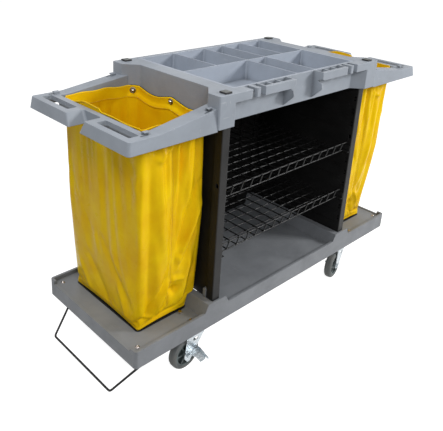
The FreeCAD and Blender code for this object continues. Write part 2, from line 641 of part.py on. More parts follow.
def top_frame():
    """Top moulding: hollow box with corner blocks, end walls, tool rail and tray opening."""
    m = MOULD_WALL
    outer = prism_xy(top_plan(0.0), TOP_UNDER, TOP_Z)
    outer = soften(outer, 5.0, vertical)
    inner = prism_xy(top_plan(m), TOP_UNDER - 1, TOP_Z - m)
    x0, x1 = -TRAY_HALF - TRAY_GAP, TRAY_HALF + TRAY_GAP
    y1 = TRAY_REAR + TRAY_GAP
    ring = slab(x0 - 3, x1 + 3, -WALL_Y, y1 + 3, TOP_Z - m - TRAY_LEDGE, TOP_Z, 4)
    inner = inner.cut(ring)
    rail = tool_rail()
    rail += [flip_x(s) for s in rail]
    body = fuse([outer] + rail)
    body = soften(body, 1.5, lambda e: at_height(e, TOP_Z) and e.Length > 60)
    hollow_ends = [box(s * (TOP_HALF - 30) - 12, s * (TOP_HALF - 30) + 12, -TOP_HALF_Y + m, -WALL_Y - 5,
                       TOP_Z - RAIL_HEIGHT - 5, TOP_Z - m) for s in (-1, 1)]
    body = cut(body, [inner] + hollow_ends)
    # tray opening with its rebate, and square holes for the caps
    tools = [box(x0, x1, TRAY_FRONT - TRAY_GAP / 2, y1, TOP_Z - TRAY_FLANGE - REST_GAP, TOP_Z + 5),
             box(x0 + TRAY_LAP, x1 - TRAY_LAP, -WALL_Y + m + 0.5, TRAY_REAR - TRAY_LAP,
                 TOP_Z - m - TRAY_LEDGE - 5, TOP_Z + 5)]
    half = CAP_SHANK / 2
    for x, y in cap_points():
        tools.append(box(x - half, x + half, y - half, y + half, TOP_Z - m - 2, TOP_Z + 5))
    body = cut(body, tools + [stud_hole(p) for p in stud_places() + [flip_place(p) for p in stud_places()]])
    # gussets between the deck and the end walls, beside the tray
    ribs = []
    for s in (-1, 1):
        for y in (-END_GUSSET_Y, END_GUSSET_Y):
            a, b = sorted((s * (TRAY_HALF + GUSSET_GAP), s * (WALL_X - 1)))
            ribs.append(box(a, b, y - m / 2, y + m / 2, TOP_UNDER + GUSSET_GAP, TOP_Z - m + 0.5))
    return fuse([body] + ribs)


def cap_points():
    """Centres of the four caps over the side panels."""
    x, y = TOP_HALF - CAP_FROM_END, TOP_HALF_Y - CAP_FROM_SIDE
    return [(sx * x, sy * y) for sx in (-1, 1) for sy in (-1, 1)]


def post_caps():
    """Square plugs on the deck above the side panels."""
    out = []
    h, k, i = CAP_SIZE / 2, CAP_SHANK / 2 - CLIP_FIT, CAP_RIM
    for x, y in cap_points():
        head = slab(x - h, x + h, y - h, y + h, TOP_Z, TOP_Z + CAP_LIFT, 3)
        head = soften(head, 1.0, lambda e: at_height(e, TOP_Z + CAP_LIFT))
        head = head.cut(slab(x - h + i, x + h - i, y - h + i, y + h - i, TOP_Z + CAP_LIFT - 1, TOP_Z + 9, 2))
        shank = box(x - k, x + k, y - k, y + k, TOP_Z - 14, TOP_Z + 0.5)
        out.append(fuse([head, shank]))
    return solids(out)


def cap_pads():
    """Grey inlays in the caps."""
    h = CAP_SIZE / 2 - CAP_RIM
    return solids([slab(x - h, x + h, y - h, y + h, TOP_Z + CAP_LIFT - 1, TOP_Z + CAP_LIFT + 0.3, 2)
                   for x, y in cap_points()])


# ---------------------------------------------------------------- tray insert
def tray_insert():
    """Lift-out tray with two rows of drafted compartments."""
    w, d = TRAY_WALL, TRAY_DRAFT
    floor = TOP_Z - TRAY_DEPTH
    fx0, fx1 = -TRAY_HALF, TRAY_HALF
    well_x0, well_x1 = fx0 + TRAY_LAP, fx1 - TRAY_LAP
    well_y0, well_y1 = -WALL_Y + MOULD_WALL + 0.5 + TRAY_GAP, TRAY_REAR - TRAY_LAP - TRAY_GAP
    flange = slab(fx0, fx1, TRAY_FRONT, TRAY_REAR, TOP_Z - TRAY_FLANGE, TOP_Z, 6)
    outer = Part.makeLoft([round_rect(well_x0, well_x1, well_y0, well_y1, 8, TOP_Z - 0.5),
                           round_rect(well_x0 + d, well_x1 - d, well_y0 + d, well_y1 - d, 8, floor)], True, True)
    body = fuse([flange, outer])
    mid_y = (TRAY_FRONT + TRAY_REAR) / 2

    def pocket(x0, x1, y0, y1):
        return Part.makeLoft([round_rect(x0, x1, y0, y1, 7, TOP_Z + 0.01),
                              round_rect(x0 + d, x1 - d, y0 + d, y1 - d, 7, floor + w)], True, True)

    cols_front = [well_x0 + w] + list(TRAY_CROSS) + [well_x1 - w]
    cols_rear = [well_x0 + w, TRAY_REAR_CROSS[0]] + list(TRAY_CROSS) + [TRAY_REAR_CROSS[1], well_x1 - w]
    pockets = []
    for cols, ya, yb in ((cols_front, well_y0 + w, mid_y - w / 2), (cols_rear, mid_y + w / 2, well_y1 - w)):
        for i in range(len(cols) - 1):
            a = cols[i] + (w / 2 if i else 0)
            b = cols[i + 1] - (w / 2 if i < len(cols) - 2 else 0)
            pockets.append(pocket(a, b, ya, yb))
    return cut(body, pockets)


# ---------------------------------------------------------------- drop frames
def frame_corners(inset, rise):
    """Plan of the left drop frame's outer walls, inset and leaning in with height."""
    lean = inset + FRAME_DRAFT * rise
    tip, hy = FRAME_TIP - lean, FRAME_HALF_Y - lean
    root = WALL_X + 4
    notch = HANDLE_NOTCH + NOTCH_LEAN * rise + inset
    bar = END_BAR_OUTER - inset
    r = FRAME_CORNER_R
    half = [(-root, -hy, 0), (-tip, -hy, r), (-tip, -notch, r * 0.7), (-bar, -notch, r)]
    return half + [(x, -y, k) for x, y, k in reversed(half)]


def frame_hull(inset, z0, z1):
    """Solid inside the left drop frame's outer walls between two heights."""
    return Part.makeLoft([round_poly(frame_corners(inset, z - FRAME_BOTTOM), z) for z in (z0, z1)], True, True)


def frame_top_at(x, drop=0.0):
    """Height of the left drop frame's upper surface at x."""
    flat = END_BAR_INNER - FRAME_FLAT
    k = max(0.0, (x + flat) / (flat - TOP_HALF))
    return FRAME_TIP_TOP + k * (FRAME_ROOT_TOP - FRAME_TIP_TOP) - drop


def above_top(drop):
    """Everything above the frame's upper surface, lowered by drop."""
    xs = (-FRAME_TIP - 10, -END_BAR_INNER + FRAME_FLAT, -WALL_X + 5)
    hi = FRAME_ROOT_TOP + TOP_HEIGHT
    return prism_xz([(x, frame_top_at(x, drop)) for x in xs] + [(xs[2], hi), (xs[0], hi)],
                    -FRAME_HALF_Y - 10, FRAME_HALF_Y + 10)


def top_edge(edge):
    """True for an edge on the drop frame's upper surface."""
    return all(abs(v.Point.z - frame_top_at(v.Point.x)) < 0.05 for v in edge.Vertexes)


def bag_opening(grow, z0, z1):
    """Prism through the left drop frame's bag opening."""
    tip, root = FRAME_HALF_Y - ARM_TIP + grow, FRAME_HALF_Y - ARM_ROOT + grow
    x0, x1 = -END_BAR_INNER - grow, -WALL_X + 5
    slope = (tip - root) / (END_BAR_INNER - TOP_HALF)
    near = root - slope * (TOP_HALF + x1)
    return prism_xy([(x0, -tip), (x1, -near), (x1, near), (x0, tip)], z0, z1)


def handle_slots(grow):
    """Hand holes of the left drop frame."""
    return [(-SLOT_X[1] - grow, -SLOT_X[0] + grow, min(s * SLOT_Y[0], s * SLOT_Y[1]) - grow,
             max(s * SLOT_Y[0], s * SLOT_Y[1]) + grow) for s in (-1, 1)]


def lug_slots(grow):
    """Narrow slots beside the bag hooks of the left drop frame."""
    out = []
    for x, y in zip(LUG_SLOT_X, LUG_SLOT_Y):
        h, w = LUG_SLOT_LENGTH / 2 + grow, LUG_SLOT_WIDTH / 2 + grow
        out += [(-x - h, -x + h, s * y - w, s * y + w) for s in (-1, 1)]
    return out


def bag_lugs():
    """Hooks that overhang the slots; the bag's corner loops go over them."""
    out = []
    for x, y in zip(LUG_X, LUG_SLOT_Y):
        z = frame_top_at(-x)
        inner = y - LUG_SLOT_WIDTH / 2 - LUG_WALL - 5
        top = z + LUG_HEIGHT
        pts = [(inner, z - MOULD_WALL), (inner + LUG_WALL, z - MOULD_WALL), (inner + LUG_WALL, top - LUG_THICK),
               (inner + LUG_WALL + LUG_OVER, top - LUG_THICK), (inner + LUG_WALL + LUG_OVER, top - 1),
               (inner + LUG_WALL + LUG_OVER - 1, top), (inner + 2, top), (inner, top - 2)]
        lug = prism_yz(pts, -x - LUG_LENGTH / 2, -x + LUG_LENGTH / 2)
        out += [lug, flip_y(lug)]
    return out


def drop_frame():
    """Left drop frame: hollow U-shaped moulding with two handles, hand slots and bag hooks."""
    m = MOULD_WALL
    low, high = FRAME_BOTTOM, FRAME_ROOT_TOP + 20
    body = frame_hull(0.0, low, high)
    body = cut(body, [above_top(0.0), bag_opening(0.0, low - 1, high + 1)])
    body = soften(body, 2.0, lambda e: e.Length > 30 and top_edge(e))
    body = cut(body, [slab(*s, low - 1, high, 6) for s in handle_slots(0.0)])
    # channel section: hollow from below, with lips round the hand slots and walls round the bag slots
    inner = frame_hull(m, low - 1, high)
    stops = [above_top(m), bag_opening(m, low - 2, high + 1),
             box(-TOP_HALF - m, 0, -FRAME_HALF_Y, FRAME_HALF_Y, low - 2, high + 1)]
    stops += [slab(*s, FRAME_TIP_TOP - SLOT_LIP, high + 1, 6 + m) for s in handle_slots(m)]
    stops += [box(*r, FRAME_TIP_TOP - SLOT_LIP, high + 1) for r in lug_slots(m * 0.75)]
    inner = cut(inner, stops)
    body = cut(body, [inner] + [box(*r, low - 2, high + 1) for r in lug_slots(0.0)])
    body = fuse([body] + bag_lugs())
    # the roots end on the corner blocks and on their 45 degree faces
    return body.cut(prism_xy(top_plan(0.0), low - 5, high + 5))


# ---------------------------------------------------------------- bags
def bag_section(z, out_x, in_x, half, shift, corner, bevel, inset):
    """Plan of the left bag at one height: round outer corners, bevelled inner ones."""
    k = inset * math.tan(math.pi / 8)
    side = [(-in_x - inset, -(half[0] - bevel - k), 3.0), (-in_x - bevel - k, -(half[0] - inset), 6.0),
            (-out_x + inset, -(half[1] - inset), corner)]
    far = [(x, -y, r) for x, y, r in reversed(side)]
    return round_poly([(x, y + shift, r) for x, y, r in side + far], z)


def bag_levels():
    """Sections of the left bag from foot to rim; the foot clears the ramp of the ridge."""
    foot = DECK + BOARD_THICK
    mid = foot + 0.5 * (BAG_RIM_Z - foot)
    bevel = BAG_RIM_Y[0] - RECESS_Y
    rim = (BAG_OUT_X, BAG_RIM_X, BAG_RIM_Y, 0.0, BAG_R, bevel)

    def low_level(z, in_x, corner):
        k = (z - foot) / (mid - foot)
        out_x = BAG_FOOT_OUT + k * (BAG_OUT_X - 6 - BAG_FOOT_OUT)
        half = tuple(a + k * (b - a) for a, b in zip(BAG_FOOT_Y, BAG_MID_Y))
        return z, out_x, in_x, half, BAG_FOOT_SHIFT * (1 - k), corner, 10.0

    over = RIDGE_TOP + BAG_RIDGE_GAP
    slope = RIDGE_RAMP / (RIDGE_TOP - DECK)
    return [low_level(foot, RIDGE_OUTER_X + slope * (RIDGE_TOP - foot) + BAG_RIDGE_GAP, BAG_FOOT_R),
            low_level(over, RIDGE_OUTER_X + BAG_RIDGE_GAP, BAG_FOOT_R + 4),
            low_level(over + 10, BAG_IN_X + 2, BAG_FOOT_R + 6),
            low_level(mid, BAG_IN_X + 2, BAG_R),
            (TOP_UNDER - 6, BAG_OUT_X, BAG_IN_X, BAG_RIM_Y, 0.0, BAG_R, bevel),
            (TOP_UNDER + 2.5,) + rim, (BAG_RIM_Z,) + rim]


def bag():
    """Left bag: open nylon sack on its base board."""
    def hull(inset, foot_rise, rim_rise):
        levels = bag_levels()
        wires = []
        for i, (z, *rest) in enumerate(levels):
            z += foot_rise if i == 0 else (rim_rise if i == len(levels) - 1 else 0.0)
            wires.append(bag_section(z, *rest, inset))
        return Part.makeLoft(wires, True, True)
    body = hull(0.0, 0.0, 0.0).cut(hull(BAG_CLOTH, BAG_CLOTH, 1.0))
    holes = []
    for point, way in stud_places():
        back = V(*point) - V(*way) * 10
        holes.append(Part.makeCylinder(EYELET_HOLE + 0.5, 40, back, V(*way)))
    return cut(body, holes)


def stud_places():
    """Stud feet on the left end wall with their outward directions: one flat, two bevelled."""
    mid_x = (WALL_X + TOP_HALF) / 2 - 6
    run = (BLOCK_END_Y - RECESS_Y) / END_RECESS
    y = RECESS_Y + run * (mid_x - WALL_X)
    d = math.hypot(run, 1.0)
    return [((-WALL_X, -4.0, STUD_MID_Z), (-1.0, 0.0, 0.0)),
            ((-mid_x, -y, STUD_SIDE_Z), (-run / d, 1.0 / d, 0.0)),
            ((-mid_x, y, STUD_SIDE_Z), (-run / d, -1.0 / d, 0.0))]


def flip_place(place):
    """Mirror image of a stud place on the right end wall."""
    (x, y, z), (u, v, w) = place
    return (-x, y, z), (-u, v, w)


def stud_hole(place):
    """Hole for a stud's pin through the top moulding's wall."""
    point, way = place
    return Part.makeCylinder(4.0, 2 * MOULD_WALL + 4, V(*point) - V(*way) * (2 * MOULD_WALL + 2), V(*way))


def on_wall(shape, place, lift):
    """Move a piece made along +Z so that it stands on the wall at a stud place."""
    point, way = place
    shape.Placement = FreeCAD.Placement(V(*point) + V(*way) * lift, FreeCAD.Rotation(V(0, 0, 1), V(*way)))
    return shape


def cloth_gap(place):
    """Distance from the end wall to the outside of the bag's cloth at a stud place."""
    point, way = place
    if way[1] == 0:
        return BAG_RIM_X - WALL_X
    half_bevel = (BAG_RIM_Y[0] - RECESS_Y) / 2
    side = 1 if point[1] > 0 else -1
    mid = V(-BAG_RIM_X - half_bevel, side * (RECESS_Y + half_bevel), point[2])
    return (mid - V(*point)).dot(V(*way))


def eyelets():
    """Metal eyelets in the left bag's hem."""
    out = []
    r, q = EYELET_R, EYELET_HOLE
    for place in stud_places():
        ring = revolve([(q, 0.0), (r, 0.0), (r, 1.2), (q + 1.5, 2.0), (q + 0.3, 1.6), (q, 0.6)])
        out.append(on_wall(ring, place, cloth_gap(place) + BAG_CLOTH + 0.3))
    return solids(out)


def studs():
    """Domed studs on the left end wall that carry the bag's eyelets."""
    out = []
    for place in stud_places():
        t = MOULD_WALL
        end = cloth_gap(place) + BAG_CLOTH + 2.6
        dome = revolve([(0, -t - 3), (3.9, -t - 3), (3.9, 0), (5.0, 0), (5.0, end), (STUD_R, end), (STUD_R, end + 2),
                        (STUD_R - 1.5, end + 5), (STUD_R - 4, end + 6.4), (0, end + 6.8)])
        out.append(on_wall(dome, place, 0.0))
    return solids(out)


def base_board():
    """Black board under the left bag, up to the foot of the ridge."""
    g, s = BOARD_LAP, BAG_FOOT_SHIFT
    half = BAG_FOOT_Y[1] + g
    return slab(-BAG_FOOT_OUT - g, -RIDGE_OUTER_X - RIDGE_RAMP - 0.5, s - half, s + half, DECK,
                DECK + BOARD_THICK, BAG_FOOT_R)


# ---------------------------------------------------------------- wire shelves
def shelf_height(index):
    """Underside of the long wires of a shelf."""
    return SLOT_FIRST_Z + SHELF_SLOTS[index] * SLOT_PITCH - SHELF_LOW


def wire_shelf(index):
    """Long wires, cross wires turned up at the front, and a lip rail."""
    r = WIRE_R
    half = PANEL_INNER_X - SHELF_SIDE
    zl = shelf_height(index) + r
    zc = zl + 2 * r + SEAT_GAP
    out = []
    for i in range(LONG_WIRES):
        y = -SHELF_SPAN + i * (2 * SHELF_SPAN) / (LONG_WIRES - 1)
        out.append(cyl((-half, y, zl), (1, 0, 0), r, 2 * half))
    lip = zc + LIP_RISE
    lean = math.hypot(LIP_FLARE, LIP_RISE)
    for i in range(SHELF_WIRES):
        x = (i - (SHELF_WIRES - 1) / 2) * SHELF_PITCH
        out.append(rod([(x, SHELF_FRONT, zc), (x, -SHELF_FRONT, zc), (x, -SHELF_FRONT - LIP_FLARE, lip + r)], r))
    # the lip rail lies behind the upturned ends
    back = 2 * r + SEAT_GAP
    y = -SHELF_FRONT - LIP_FLARE * (lip - zc) / (LIP_RISE + r) + back * LIP_RISE / lean
    out.append(cyl((-half, y, lip), (1, 0, 0), r, 2 * half))
    return solids(out)


def shelf_clips():
    """Bent clips hooked into the slot pairs, with a ledge under each shelf corner."""
    out = []
    t = CLIP_THICK
    x = PANEL_INNER_X
    for index, y in ((i, y) for i in (0, 1) for y in slot_columns()):
        shift = CLIP_OFFSET if y < 0 else 0.0
        y0, y1 = y + shift - CLIP_WIDTH / 2, y + shift + CLIP_WIDTH / 2
        if y > 0:
            y1 = min(y1, PANEL_HALF_Y - REAR_PANEL_THICK - CLIP_FIT)
        top = shelf_height(index) - REST_GAP
        z = SLOT_FIRST_Z + SHELF_SLOTS[index] * SLOT_PITCH
        leaf = box(x - t, x, y0, y1, top - t, z + SLOT_PAIR)
        ledge = box(x - CLIP_LEDGE, x, y0, y1, top - t, top)
        gusset = prism_xz([(x - CLIP_LEDGE + 2, top - t), (x - 0.01, top - t), (x - 0.01, top - t - 10)],
                          y - 1.5, y + 1.5)
        teeth = [box(x - 0.5, x + PANEL_WALL, y - SLOT_WIDTH / 2 + CLIP_FIT, y + SLOT_WIDTH / 2 - CLIP_FIT,
                     z + dz - SLOT_HEIGHT / 2 + CLIP_FIT, z + dz + SLOT_HEIGHT / 2 - CLIP_FIT)
                 for dz in (-SLOT_PAIR / 2, SLOT_PAIR / 2)]
        clip = fuse([leaf, ledge, gusset] + teeth)
        out += [clip, flip_x(clip)]
    return solids(out)


# ---------------------------------------------------------------- stirrup
def stirrup():
    """Bent wire loop hinged under the left end of the base."""
    px, pz = -STIRRUP_PIVOT_X, STIRRUP_PIVOT_Z
    fx, fz = px - STIRRUP_REACH, pz - STIRRUP_DROP
    py, fy = STIRRUP_PIVOT_Y, STIRRUP_FOOT_Y
    return rod([(px, py - 30, pz), (px, py, pz), (fx, fy, fz), (fx, -fy, fz), (px, -py, pz), (px, -py + 30, pz)],
               STIRRUP_R, STIRRUP_BEND)


def stirrup_clips():
    """Bearing clips of the stirrup under the base."""
    out = []
    x, z = -STIRRUP_PIVOT_X, STIRRUP_PIVOT_Z
    for s in (-1, 1):
        a, b = sorted((s * (STIRRUP_PIVOT_Y - 27), s * (STIRRUP_PIVOT_Y - 17)))
        r = STIRRUP_R + 4
        lug = prism_xz([(x - r, z), (x + r, z), (x + r, PLATE_TOP - 2.5), (x - r, PLATE_TOP - 2.5)], a, b)
        eye = cyl((x, a, z), (0, 1, 0), r, b - a)
        flange = box(x - 20, x + 20, a, b, PLATE_TOP - 3, PLATE_TOP)
        hole = cyl((x, a - 1, z), (0, 1, 0), STIRRUP_R + RUN_FIT, b - a + 2)
        out.append(fuse([lug, eye, flange]).cut(hole))
    return solids(out)


# ---------------------------------------------------------------- casters
def caster_place(shape, name):
    """Turn and move a caster piece built round its kingpin to its corner."""
    sx = -1 if name.endswith("left") else 1
    sy = -1 if name.startswith("front") else 1
    out = shape.copy()
    out.rotate(V(0, 0, 0), V(0, 0, 1), SWIVEL_ANGLE[name])
    out.translate(V(sx * CASTER_X, sy * CASTER_Y, 0))
    return out


def caster_plates():
    """Top plates with their upper races and kingpins, riveted over under the crown."""
    out = []
    for sx in (-1, 1):
        for sy in (-1, 1):
            hx, hy = PLATE_LENGTH / 2, PLATE_WIDTH / 2
            plate = slab(-hx, hx, -hy, hy, PLATE_UNDER, PLATE_TOP, 8)
            race = revolve([(0, PLATE_UNDER + 1), (RACE_R, PLATE_UNDER + 1), (RACE_R, PLATE_UNDER - 3),
                            (27, CROWN_TOP + FREE_GAP), (KINGPIN_R, CROWN_TOP + FREE_GAP), (0, CROWN_TOP + FREE_GAP)])
            pin = cyl((0, 0, FORK_TOP - FORK_THICK - 8), (0, 0, 1), KINGPIN_R, CROWN_TOP - FORK_TOP + FORK_THICK + 14)
            nut = hexagon((0, 0, FORK_TOP - FORK_THICK - 7.35), (0, 0, 1), 16, 7)
            holes = [cyl((dx * BOLT_DX, dy * BOLT_DY, PLATE_UNDER - 1), (0, 0, 1), BOLT_R, PLATE_THICK + 2)
                     for dx in (-1, 1) for dy in (-1, 1)]
            one = cut(fuse([plate, race, pin, nut]), holes)
            one.translate(V(sx * CASTER_X, sy * CASTER_Y, 0))
            out.append(one)
    return solids(out)


def caster_bolts():
    """Bolts from the deck through the pads, with nuts under the plates."""
    out = []
    for x, y, seat in caster_bolt_points():
        head = hexagon((x, y, seat), (0, 0, 1), HEAD_ACROSS, HEAD_HEIGHT)
        nut = hexagon((x, y, PLATE_UNDER - 6), (0, 0, 1), HEAD_ACROSS, 6)
        shank = cyl((x, y, PLATE_UNDER - 9), (0, 0, 1), BOLT_R, seat - PLATE_UNDER + 10)
        out.append(fuse([shank, head, nut]))
    return solids(out)


def fork():
    """Pressed fork: crown with lower race and two tapered legs down to the axle."""
    ax, az = -TRAIL, WHEEL_R
    top = FORK_TOP
    back, front = FORK_BACK, FORK_FRONT
    leg_pts = [(-back, top), (front, top), (front - 3, top - 12), (-18, az - 9), (ax - 8, az - 13), (ax - 15, az + 2),
               (-back - 6, top - 30)]
    legs = []
    for s in (-1, 1):
        y0, y1 = sorted((s * LEG_IN, s * LEG_OUT))
        plate = prism_xz(leg_pts, y0, y1)
        eye = cyl((ax, y0, az), (0, 1, 0), 15, FORK_THICK)
        legs.append(plate.fuse(eye))
    crown = box(-back, front, -LEG_OUT, LEG_OUT, top - FORK_THICK, top)
    crown = soften(crown, 6.0, vertical)
    race = revolve([(KINGPIN_R + 2, top - 1), (24, top - 1), (30, CROWN_TOP - 2), (30, CROWN_TOP), (KINGPIN_R + 2, CROWN_TOP)])
    body = fuse(legs + [crown, race])
    window = [cyl((x, -LEG_OUT - 1, top - 24), (0, 1, 0), 6.5, 2 * LEG_OUT + 2) for x in (-8, 4)]
    window.append(box(-8, 4, -LEG_OUT - 1, LEG_OUT + 1, top - 30.5, top - 17.5))
    tools = window + [cyl((0, 0, top - 20), (0, 0, 1), KINGPIN_R + RUN_FIT, 60),
             cyl((ax, -LEG_OUT - 1, az), (0, 1, 0), AXLE_R, 2 * LEG_OUT + 2)]
    return cut(body, tools)


def axle_reach(name):
    """Outer side of what the axle bolt clamps, at the brake side."""
    return LEG_OUT + (BRAKE_THICK + 2 * FREE_GAP if name in BRAKED else 0.0)


def axle(name):
    """Axle bolt with head and nut."""
    ax, az = -TRAIL, WHEEL_R
    y0 = -axle_reach(name)
    head = hexagon((ax, y0, az), (0, -1, 0), 15, 5.5)
    nut = hexagon((ax, LEG_OUT, az), (0, 1, 0), 15, 6.5)
    shank = cyl((ax, y0 - 1, az), (0, 1, 0), AXLE_R, LEG_OUT - y0 + 12)
    return fuse([head, nut, shank])


def hub():
    """Spoked plastic wheel centre with its bearing boss."""
    az, r_out = WHEEL_R, RIM_D / 2
    w = TYRE_WIDTH / 2 - 2
    rim = revolve([(r_out - 6, -w), (r_out, -w), (r_out, w), (r_out - 6, w)])
    boss_r = 14.0
    boss = revolve([(AXLE_R + RUN_FIT, -LEG_IN + 0.5), (boss_r - 4, -LEG_IN + 0.5), (boss_r, -w + 2), (boss_r, w - 2),
                    (boss_r - 4, LEG_IN - 0.5), (AXLE_R + RUN_FIT, LEG_IN - 0.5)])
    web = revolve([(boss_r - 1, -2), (r_out - 5, -2), (r_out - 5, 2), (boss_r - 1, 2)])
    parts = [rim, boss, web]
    for i in range(HUB_SPOKES):
        spoke = box(boss_r - 2, r_out - 4, -3, 3, -w + 2, w - 2)
        spoke.rotate(V(0, 0, 0), V(0, 0, 1), 360 / HUB_SPOKES * i)
        parts.append(spoke)
    body = fuse(parts)
    body.rotate(V(0, 0, 0), V(1, 0, 0), 90)
    body.translate(V(-TRAIL, 0, az))
    return body


def tyre():
    """Grey rubber tyre with rounded shoulders."""
    r_in, r, w = RIM_D / 2, WHEEL_R, TYRE_WIDTH / 2
    ring = revolve([(r_in, -w + 1), (r_in + 3, -w), (r - 7, -w), (r - 2.2, -w + 3.2), (r, -w + 9), (r, w - 9),
                    (r - 2.2, w - 3.2), (r - 7, w), (r_in + 3, w), (r_in, w - 1)])
    ring.rotate(V(0, 0, 0), V(1, 0, 0), 90)
    ring.translate(V(-TRAIL, 0, r))
    return ring


def brake():
    """Brake lever on the axle bolt: lobed hub plate, pedal with an upturned rib and a lower lobe."""
    ax, az = -TRAIL, WHEEL_R
    y1 = -LEG_OUT - FREE_GAP
    y0 = y1 - BRAKE_THICK
    plate = cyl((ax, y0, az), (0, 1, 0), 19.0, BRAKE_THICK)
    lobe = prism_xz([(ax - 12, az - 8), (ax - 6, az - 25), (ax + 8, az - 25), (ax + 14, az - 8)], y0, y1)
    lobe = soften(lobe, 4.0, lambda e: abs(e.Vertexes[0].Point.y - e.Vertexes[-1].Point.y) > 1
                  and e.Vertexes[0].Point.z < az - 20)
    arm = prism_xz([(ax - 12, az + 10), (ax + 4, az + 17), (ax + 40, az + 12), (ax + 40, az + 1), (ax, az - 6)], y0, y1)
    x0, x1 = ax + 2, ax + 40
    reach = y1 - BRAKE_WIDTH
    pedal = prism_yz([(y1 - 1, az + 12), (y1 - 1, az + 15), (y0 - 20, az + 12), (reach, az + 1), (reach + 1, az - 2),
                      (y0 - 20, az + 8.5)], x0, x1)
    pedal = soften(pedal, 8.0, lambda e: abs(e.Vertexes[0].Point.z - e.Vertexes[-1].Point.z) < 5
                   and abs(e.Vertexes[0].Point.x - e.Vertexes[-1].Point.x) < 0.01
                   and min(v.Point.y for v in e.Vertexes) < reach + 2 and e.Length < 5)
    rib = prism_yz([(y0 + 0.5, az + 9), (y0 + 0.5, az + 22), (y0 - 16, az + 22), (reach - 8, az + 7), (reach - 8, az + 1),
                    (y0 - 20, az + 8.5)], x1, x1 + 3.5)
    hole = cyl((ax, y0 - 1, az), (0, 1, 0), AXLE_R + RUN_FIT, BRAKE_THICK + 2)
    head_room = cyl((ax, y0 - 60, az), (0, 1, 0), 11.5, 60)
    return cut(fuse([plate, lobe, arm, pedal, rib]), [hole, head_room])


# ---------------------------------------------------------------- deck screws
def deck_screws():
    """Domed screws with washers in the corners of the base."""
    out = []
    for sx in (-1, 1):
        for sy in (-1, 1):
            x, y = sx * (HALF_L - SCREW_IN_X), sy * (HALF_D - SCREW_IN_Y)
            s = revolve([(0, DECK), (8, DECK), (8, DECK + 1.2), (6, DECK + 1.2), (5, DECK + 3.6), (2.5, DECK + 5),
                         (0, DECK + 5)])
            s.translate(V(x, y, 0))
            out.append(s)
    return solids(out)


# ---------------------------------------------------------------- assembly
def build():
    """Make every node of the cart."""
    keep("base_platform", base_platform())
    keep("deck_screws", deck_screws())
    seams = (PANEL_BOTTOM, LOW_SEAM_Z, HIGH_SEAM_Z, TOP_UNDER)
    for i, label in enumerate(("lower", "middle", "upper")):
        module = side_module(seams[i], seams[i + 1])
        keep("side_panel_left_" + label, module)
        keep("side_panel_right_" + label, flip_x(module))
    keep("rear_panel", rear_panel())
    keep("top_frame", top_frame())
    keep("post_caps", post_caps())
    keep("post_cap_pads", cap_pads())
    keep("tray_insert", tray_insert())
    for label, put in (("left", lambda s: s), ("right", flip_x)):
        keep("drop_frame_" + label, put(drop_frame()))
        keep("bag_" + label, put(bag()))
        keep("bag_eyelets_" + label, put(eyelets()))
        keep("bag_studs_" + label, put(studs()))
        keep("bag_board_" + label, put(base_board()))
    keep("wire_shelf_lower", wire_shelf(0))
    keep("wire_shelf_upper", wire_shelf(1))
    keep("shelf_clips", shelf_clips())
    keep("wire_stirrup", stirrup())
    keep("stirrup_clips", stirrup_clips())
    keep("caster_plates", caster_plates())
    keep("caster_bolts", caster_bolts())
    for name in SWIVEL_ANGLE:
        keep("caster_fork_" + name, caster_place(fork(), name))
        keep("caster_axle_" + name, caster_place(axle(name), name))
        keep("wheel_hub_" + name, caster_place(hub(), name))
        keep("wheel_tyre_" + name, caster_place(tyre(), name))
        if name in BRAKED:
            keep("brake_lever_" + name, caster_place(brake(), name))


def main():
    """Build the cart and write one STEP file for each node."""
    os.makedirs("parts", exist_ok=True)
    build()
    for name, shape in NODES.items():
        shape.exportStep("parts/" + name + ".step")
        print(name, len(shape.Solids), round(shape.Volume), shape.isValid())


main()
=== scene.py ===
"""Housekeeping cart: finishes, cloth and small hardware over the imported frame.

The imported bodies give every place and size.  This file dresses the rigid nodes, makes the two
nylon bags as hanging cloth with hems, seams and stitches, and adds the small hardware.
Units are metres: +X along the cart, +Y to the rear, +Z up, origin on the floor.
"""
import logging
import math
import random
from dataclasses import astuple, dataclass, field
from enum import Enum
from typing import Callable, Optional, Sequence

import bmesh
import bpy
from mathutils import Matrix, Vector, noise


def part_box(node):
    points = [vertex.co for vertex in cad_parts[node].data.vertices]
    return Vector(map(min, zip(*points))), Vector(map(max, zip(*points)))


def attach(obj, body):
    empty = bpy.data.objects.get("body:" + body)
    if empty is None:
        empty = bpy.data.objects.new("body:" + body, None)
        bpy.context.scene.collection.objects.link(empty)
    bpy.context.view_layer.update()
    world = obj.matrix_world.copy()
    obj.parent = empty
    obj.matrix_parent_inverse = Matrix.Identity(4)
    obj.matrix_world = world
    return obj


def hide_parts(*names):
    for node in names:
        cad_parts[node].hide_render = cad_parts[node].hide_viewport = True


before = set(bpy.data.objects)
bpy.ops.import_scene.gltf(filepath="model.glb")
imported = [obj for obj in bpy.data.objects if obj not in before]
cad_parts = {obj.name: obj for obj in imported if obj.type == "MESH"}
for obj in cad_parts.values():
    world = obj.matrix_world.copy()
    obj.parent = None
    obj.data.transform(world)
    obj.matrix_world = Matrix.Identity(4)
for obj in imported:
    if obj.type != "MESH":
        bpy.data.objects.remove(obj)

LOG = logging.getLogger("cart")
MM = 0.001
Rgb = tuple[float, float, float]
Numbers = Sequence[float]
Line = Sequence[Vector]
Piece = bpy.types.Object
Socket = bpy.types.NodeSocket
Mesh = bmesh.types.BMesh
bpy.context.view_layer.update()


# ------------------------------------------------------------------ node graphs
def shaded(colour: Rgb, gain: float, add: float = 0.0) -> Rgb:
    """A colour multiplied and raised, held at 1."""
    return tuple(min(1.0, c * gain + add) for c in colour)


